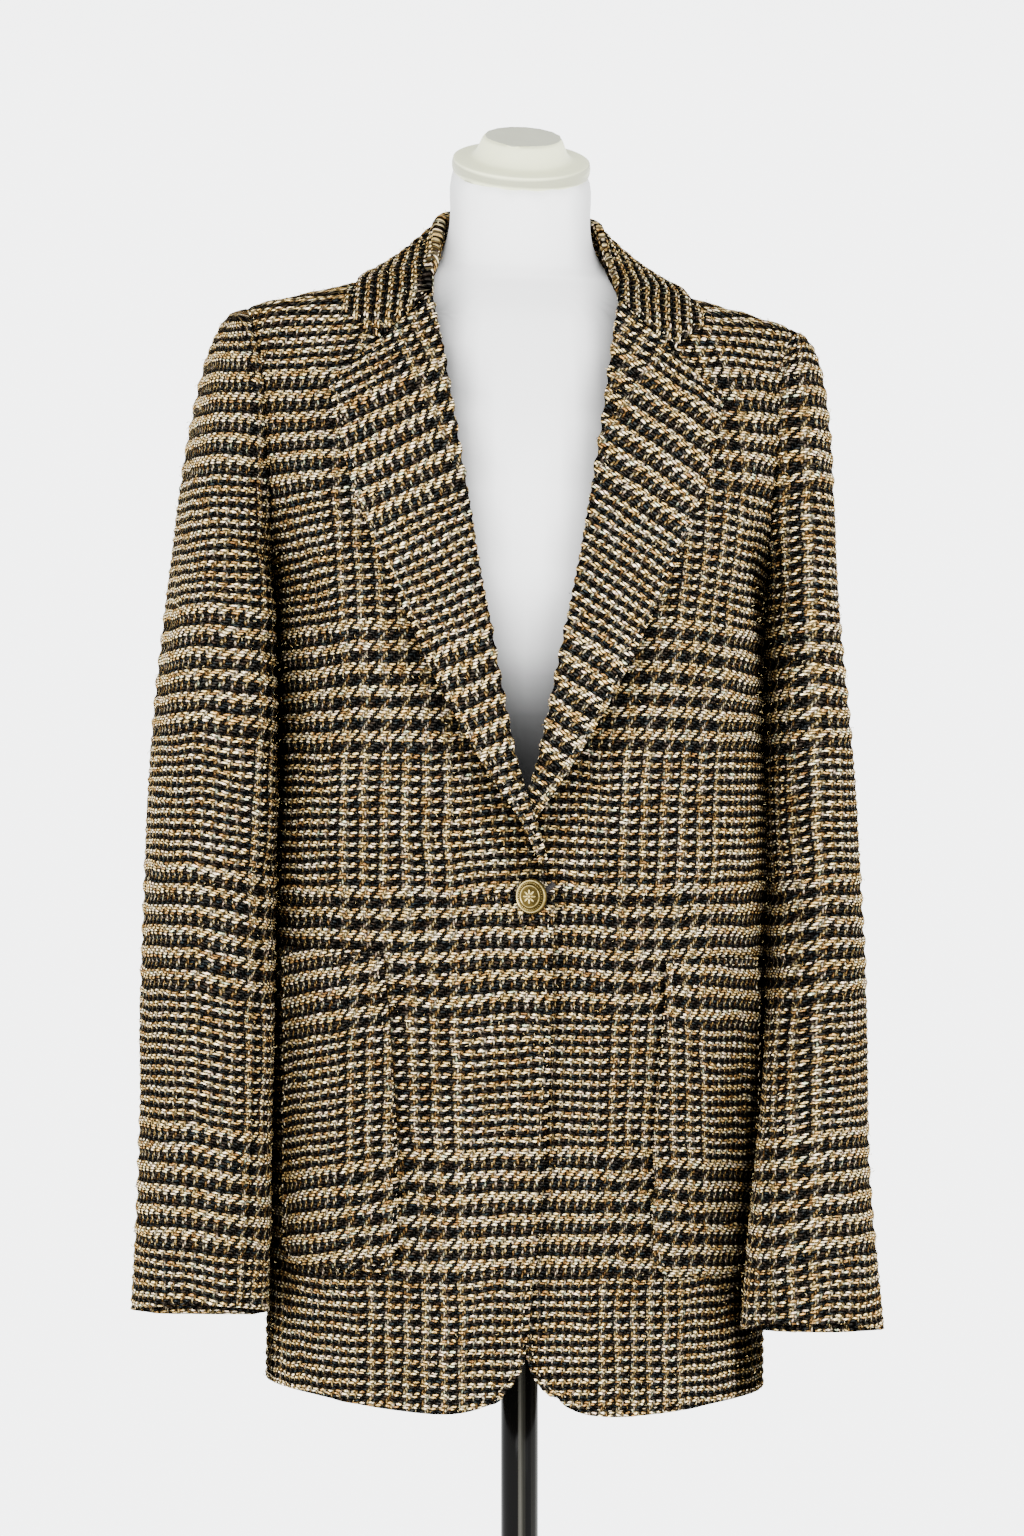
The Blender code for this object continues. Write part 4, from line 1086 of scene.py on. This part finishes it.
def loose_wool(name, cloths, seed):
    """One piece of all the wisps on those cloths."""
    bm = bmesh.new()
    for number, cloth in enumerate(cloths):
        bare = add_object("bare", cloth.data)
        bare.modifiers.new("Wisps", "NODES").node_group = scatter_of_wisps(seed + number)
        wisps = modified(bare)
        bm.from_mesh(wisps)
        bpy.data.meshes.remove(wisps)
        bpy.data.objects.remove(bare)
    finished(name, mesh_of(name, bm), wool)


sleeve_cloths = [cloth for name, cloth in CLOTHS.items() if "sleeve" in name]
loose_wool("wool_on_sleeves", sleeve_cloths, 100)
loose_wool("wool_on_body", [cloth for cloth in CLOTHS.values() if cloth not in sleeve_cloths], 200)
bpy.data.objects.remove(wisp)

# ---------------------------------------------------------------------------------------------------------
# The dress form: a padded torso and neck under a tight white jersey, with painted shade down in the opening,
# where the fronts stand off it, beside the lapels, at the neck's sides and under the jacket.
FORM_BACK = 0.006  # how far the padding gives way behind the opening
SHADOW_REACH = 0.026  # of the lapels, on the form
OPENING_DARK = (  # height, and how dark the painted shade in the opening is there
    (1.050, 0.985), (1.085, 0.965), (1.115, 0.88), (1.140, 0.69), (1.165, 0.27), (1.200, 0.06), (1.260, 0.0),
)
COVERED, COVERED_OUT = 0.96, (0.004, 0.012)  # how dark the painted shade under the jacket is, and how far from the roll
COVERED_FROM, COVERED_TO = (0.84, 0.90), (1.385, 1.405)  # the heights where that begins and ends
LAPEL_SHADE, LAPEL_EDGE = 0.78, (1.06, 1.10, 1.375, 1.43)
SHADE_GROWS = 1.18, 1.36
NECK, NECK_SIDE, NECK_SHADE = (1.395, 1.43), (0.030, 0.046), 0.35
GIVES, GIVES_OUT = (1.02, 1.08, 1.14, 1.22), (0.02, 0.07)
FLAT = math.radians(40)  # the padding's triangles that turn by less than this lie in one panel


def smooth_copy(name, sharp=math.pi, crispness=0.85):
    """A merged and smoothed copy of a node's mesh; edges that turn more than `sharp` stay that crisp."""
    bm = squared_up(name, FLAT)
    crisp = bm.edges.layers.float.new("crease_edge")
    for edge in bm.edges:
        if edge.is_manifold and edge.calc_face_angle() > sharp:
            edge[crisp] = crispness
    return smoothed(name + "_smooth", bm)


Finish = namedtuple("Finish", "material tree shader place colour")


def speckled(name, colour, roughness, speck, scale):
    """A material whose colour and gloss vary a little from place to place."""
    made, tree, shader = material(name, colour, roughness)
    place = place_in(tree)
    cloud = noise_in(tree, place, scale, 4.0)
    darker = [channel * (1 - speck) for channel in colour]
    varied = colour_ramp(tree, cloud, (0.35, *darker), (0.65, *colour))
    tree.links.new(varied, shader.inputs["Base Color"])
    rough = ranged(tree, cloud, 0.0, 1.0, roughness * 0.85, min(roughness * 1.2, 1))
    tree.links.new(rough, shader.inputs["Roughness"])
    return Finish(made, tree, shader, place, varied)


jersey = speckled("white jersey", (0.86, 0.86, 0.855), 0.8, 0.02, 14.0)
tree, shader = jersey.tree, jersey.shader
open_share = node(tree, "Attribute", attribute_name="open").outputs["Fac"]
shaded = node(tree, "VectorMath", {0: jersey.colour, "Scale": open_share}, operation="SCALE").outputs[0]
tree.links.new(shaded, shader.inputs["Base Color"])
knit = {"Vector": jersey.place, "Scale": 420.0, "Distortion": 1.5}
add_bump(tree, shader, node(tree, "TexWave", knit, bands_direction="X").outputs["Fac"], 0.12, 0.0002)

mesh = smooth_copy("dress_form")
points, normals = points_of(mesh)
x, y, z = points.T
in_front = y < 0
open_top = 1 - rise(z, *COVERED_TO)
# Painted shade on the jersey: deep in the opening, beside the lapels, under the jacket and at the neck's
# sides.
dark = np.interp(z, *table(OPENING_DARK)) * in_front
for word, side in SIDES.items():
    heights, rolls = lapel_roll(word, side)
    out = side * x - np.interp(z, heights, rolls)
    edge = (1 - rise(np.clip(-out, 0, 1), 0, SHADOW_REACH)) * in_front * swell(z, *LAPEL_EDGE)
    dark = 1 - (1 - dark) * (1 - LAPEL_SHADE * edge * (0.42 + 0.58 * rise(z, *SHADE_GROWS)))
    covered = rise(out, *COVERED_OUT) * rise(z, *COVERED_FROM)
    dark = np.maximum(dark, COVERED * covered * open_top)
dark = np.maximum(dark, COVERED * (y > 0) * rise(z, *COVERED_FROM) * open_top)
dark = 1 - (1 - dark) * (1 - NECK_SHADE * rise(z, *NECK) * rise(np.abs(x), *NECK_SIDE))
set_open_share(mesh, 1 - dark)
give = FORM_BACK * swell(z, *GIVES) * (1 - rise(np.abs(x), *GIVES_OUT)) * in_front
mesh.vertices.foreach_set("co", (points - normals * give[:, None]).ravel())
finished("form_jersey", mesh, jersey.material, "dress_form")

# ---------------------------------------------------------------------------------------------------------
# The neck cap: one cream plastic turning, pressed on the neck. A flat greyer plug closes its top.
PLUG_DEPTH = 0.0010
LIP_INSET, LIP_WIDTH = 0.0011, 0.0007  # a fine groove's shadow is painted round the brim
LIP_SHADE = 0.62
mesh = smooth_copy("neck_cap", math.radians(38))
upward = [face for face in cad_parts["neck_cap"].data.polygons if face.normal.z > 0.5]
plug_face = max(upward, key=lambda face: face.area)
axis = plug_face.normal.copy()
top = max(vertex.co.dot(axis) for vertex in mesh.vertices)
crown = [vertex.co for vertex in mesh.vertices if vertex.co.dot(axis) > top - PLUG_DEPTH]
centre = sum(crown, Vector()) / len(crown)
brim = max((vertex.co - centre).cross(axis).length for vertex in mesh.vertices)

cream = speckled("cream plastic", (0.70, 0.72, 0.47), 0.42, 0.08, 30.0)
tree, shader = cream.tree, cream.shader
from_centre = node(tree, "VectorMath", {0: cream.place, 1: centre}, operation="SUBTRACT").outputs[0]
from_axis = node(tree, "VectorMath", {0: from_centre, 1: axis}, operation="CROSS_PRODUCT").outputs[0]
radius = node(tree, "VectorMath", {0: from_axis}, operation="LENGTH").outputs["Value"]
# Painted shade: a thin dark ring round the brim, for a groove's shadow.
off_lip = maths(tree, "ABSOLUTE", maths(tree, "SUBTRACT", radius, brim - LIP_INSET))
lip = ranged(tree, off_lip, LIP_WIDTH * 0.4, LIP_WIDTH, LIP_SHADE, 0.0)
tree.links.new(blend(tree, lip, cream.colour, (0.10, 0.10, 0.07, 1)), shader.inputs["Base Color"])
shader.inputs["Specular IOR Level"].default_value = 0.3
plug = speckled("plug plastic", (0.42, 0.43, 0.33), 0.5, 0.10, 40.0)
plug.shader.inputs["Specular IOR Level"].default_value = 0.2
finished("cap", mesh, cream.material, "neck_cap")
mesh.materials.append(plug.material)
for face in mesh.polygons:
    if face.normal.dot(axis) > 0.96 and face.center.dot(axis) > top - PLUG_DEPTH:
        face.material_index = 1

# ---------------------------------------------------------------------------------------------------------
# The button: a stamped brass dome on a shank, with two raised rings, a rope of beads between them and a plain
# rosette.
# It goes through one dark buttonhole, worked by hand in the right front.
low, high = (Vector(corner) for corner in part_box("button"))
BUTTON_FOOT = Vector(((low.x + high.x) / 2 + 0.00125, low.y + 0.0080, (low.z + high.z) / 2))
BUTTON_TURN = math.radians(-30)
BUTTON_DOME, BUTTON_FALL, BUTTON_RADIUS = 0.0060, 0.0028, 0.0115  # height, how far it falls to the edge
BUTTON_STEPS, BUTTON_SIDES = 70, 72
SUNK = 0.0004  # how far the flat of the dome lies below its height
SHANK_RADIUS, SHANK_END = 0.0016, -0.0076
BUTTON_BACK = (  # radius and height, from the edge in to the end of the shank
    (0.01158, 0.0026), (0.0113, 0.0018), (0.0104, 0.0010), (0.0060, 0.0004),
    (SHANK_RADIUS, 0.0), (SHANK_RADIUS, SHANK_END), (0.0, SHANK_END),
)
PETALS, PETAL_PLACE, PETAL_SIZE = 8, 0.0030, (0.0021, 0.0009, 0.0007)
ROPE_BEADS, BEAD_PLACE, BEAD_SIZE = 36, 0.0087, (0.00062, 0.00040, 0.00050)
BEAD_SLANT, BEAD_SUNK = 0.6, 0.0003
BOSS_SIZE = 0.0012, 0.0012, 0.0009


def gilt_brass():
    """Polished where it stands up, dark in the recesses where the level is 0: patina deepened by painted
    shade.
    """
    made, tree, shader = material("gilt brass", (0.30, 0.17, 0.03), 0.3, 1.0)
    wear_and_shade = node(tree, "Attribute", attribute_name="wear_and_shade").outputs["Fac"]
    place = place_in(tree)
    cloud = noise_in(tree, place, 700.0, 3.0)
    level = maths(tree, "ADD", wear_and_shade, maths(tree, "MULTIPLY", maths(tree, "SUBTRACT", cloud, 0.5), 0.5))
    # Painted highlight: lighter towards the button's left and darker to its right, as the light falls.
    across = node(tree, "SeparateXYZ", {0: place}).outputs["X"]
    painted_highlight_side = ranged(tree, across, BUTTON_FOOT.x + 0.006, BUTTON_FOOT.x - 0.010, -0.12, 0.34)
    level = maths(tree, "ADD", level, painted_highlight_side)
    colour = colour_ramp(
        tree, level,
        (0.15, 0.010, 0.007, 0.002), (0.5, 0.066, 0.045, 0.011),
        (0.8, 0.150, 0.108, 0.030), (1.0, 0.38, 0.30, 0.12),
    )
    tree.links.new(colour, shader.inputs["Base Color"])
    tree.links.new(ranged(tree, level, 0.0, 1.0, 0.5, 0.17), shader.inputs["Roughness"])
    add_bump(tree, shader, cloud, 0.3, 0.0001)
    return made


def dome(radius):
    """Height of the button's plain dome at a radius."""
    return BUTTON_DOME - BUTTON_FALL * (radius / BUTTON_RADIUS) ** 2


def around(index, count):
    """A turn about the button's middle, for one of so many like parts."""
    return Matrix.Rotation(2 * math.pi * index / count, 4, "Z")


def add_lump(bm, segments, rings, wear_and_shade, *turns):
    """A raised part of the button, as bright as the given level of polish says."""
    for vertex in add_ball(bm, segments, rings, *turns):
        vertex[wear_and_shade_layer] = wear_and_shade


Ring = namedtuple("Ring", "radius width height")
RINGS = Ring(0.0070, 0.00060, 0.00050), Ring(0.0104, 0.00095, 0.00065)
bm = bmesh.new()
wear_and_shade_layer = bm.verts.layers.float.new("wear_and_shade")
profile = []
for step in range(BUTTON_STEPS):
    radius = BUTTON_RADIUS * step / (BUTTON_STEPS - 1)
    stands = max(ring.height * math.exp(-(((radius - ring.radius) / ring.width) ** 2) * 2) for ring in RINGS)
    vertex = bm.verts.new((radius, 0, dome(radius) + stands - SUNK))
    vertex[wear_and_shade_layer] = 0.25 + min(stands / 0.0005, 1) * 0.7
    profile.append(vertex)
for radius, height in BUTTON_BACK:
    vertex = bm.verts.new((radius, 0, height))
    vertex[wear_and_shade_layer] = 0.4
    profile.append(vertex)
edges = [bm.edges.new(pair) for pair in zip(profile, profile[1:])]
full_turn = {"cent": (0, 0, 0), "axis": (0, 0, 1), "angle": 2 * math.pi, "use_merge": True}
bmesh.ops.spin(bm, geom=profile + edges, steps=BUTTON_SIDES, **full_turn)
bmesh.ops.remove_doubles(bm, verts=bm.verts, dist=WELD / 2)
for index in range(PETALS):
    moved = Matrix.Translation((PETAL_PLACE, 0, dome(PETAL_PLACE) - SUNK))
    add_lump(bm, 12, 6, 0.9, around(index, PETALS), moved, Matrix.Diagonal((*PETAL_SIZE, 1)))
for index in range(ROPE_BEADS):
    moved = Matrix.Translation((BEAD_PLACE, 0, dome(BEAD_PLACE) - BEAD_SUNK))
    slanted = Matrix.Rotation(BEAD_SLANT, 4, "Z")
    add_lump(bm, 8, 5, 0.8, around(index, ROPE_BEADS), moved, slanted, Matrix.Diagonal((*BEAD_SIZE, 1)))
add_lump(bm, 16, 8, 1.0, Matrix.Translation((0, 0, dome(0) - SUNK)), Matrix.Diagonal((*BOSS_SIZE, 1)))
bmesh.ops.recalc_face_normals(bm, faces=bm.faces)
upright = Matrix.Rotation(math.radians(90), 4, "X")
seated = Matrix.Translation(BUTTON_FOOT) @ Matrix.Rotation(BUTTON_TURN, 4, "Z") @ upright
bmesh.ops.transform(bm, matrix=seated, verts=bm.verts)
finished("brass_button", mesh_of("brass_button", bm), gilt_brass(), "button")

BUTTONHOLE = Vector((0.0145, -0.13, 1.0020)), Vector((0.0214, -0.13, 1.0086))  # from the button to its bar
STITCHES, CORD, CORD_SUNK = 14, 0.00095, 0.0003
STITCH_TALL, BAR_TALL = 1.9, 2.6  # beside the cord
black_silk = dyed(
    "black silk thread", (0.012, 0.011, 0.011), 0.6, 0.1, (1200.0,),
    (0.40, 0.006, 0.006, 0.007), (0.62, 0.030, 0.026, 0.024),
)
cloth = searchable(CLOTHS["right_front"].data)
bm = bmesh.new()
start, end = BUTTONHOLE
slanted = Matrix.Rotation(-math.atan2(end.z - start.z, end.x - start.x), 4, "Y")
for index in range(STITCHES):
    spot = start.lerp(end, index / (STITCHES - 1))
    spot.y = cloth.find_nearest(spot)[0].y - CORD_SUNK
    tall = CORD * (STITCH_TALL if index < STITCHES - 1 else BAR_TALL)
    add_ball(bm, 8, 6, Matrix.Translation(spot), slanted, Matrix.Diagonal((CORD, CORD, tall, 1)))
finished("buttonhole", mesh_of("buttonhole", bm), black_silk)

# ---------------------------------------------------------------------------------------------------------
# The stand: a steel tube in a round weighted base, both stove-enamelled black, with painted highlight streaks
# up the tube.
STREAK_WIDTH = 0.004  # how wide a painted highlight streak up the tube is, beside its length
BARE_OF_STREAKS = 0.012, 0.030  # the painted highlight streaks begin above the base
enamel = speckled("black enamel", (0.0020, 0.0018, 0.0018), 0.14, 0.5, 9.0)
tree, shader = enamel.tree, enamel.shader
streak_place = node(tree, "VectorMath", {0: enamel.place, 1: (1.0, 1.0, STREAK_WIDTH)}, operation="MULTIPLY").outputs[0]
# Painted highlight: light streaks up the tube stand in for reflections.
streaks = colour_ramp(
    tree, noise_in(tree, streak_place, 260.0, 2.0),
    (0.50, 0.0016, 0.0015, 0.0014), (0.62, 0.0120, 0.0115, 0.0090), (0.72, 0.0500, 0.0480, 0.0400),
)
height = node(tree, "SeparateXYZ", {0: enamel.place}).outputs["Z"]
above = ranged(tree, height, *BARE_OF_STREAKS, 0.0, 1.0)
tree.links.new(blend(tree, above, enamel.colour, streaks), shader.inputs["Base Color"])
shader.inputs["Specular IOR Level"].default_value = 0.04
for name in ("pole", "base_plate"):
    mesh = smooth_copy(name, math.radians(30), crispness=1.0)
    finished(name + "_enamel", mesh, enamel.material, name)

boxes = {"cad": cad_box, "visual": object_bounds()}
plain = {name: [[float(value) for value in corner] for corner in box] for name, box in boxes.items()}
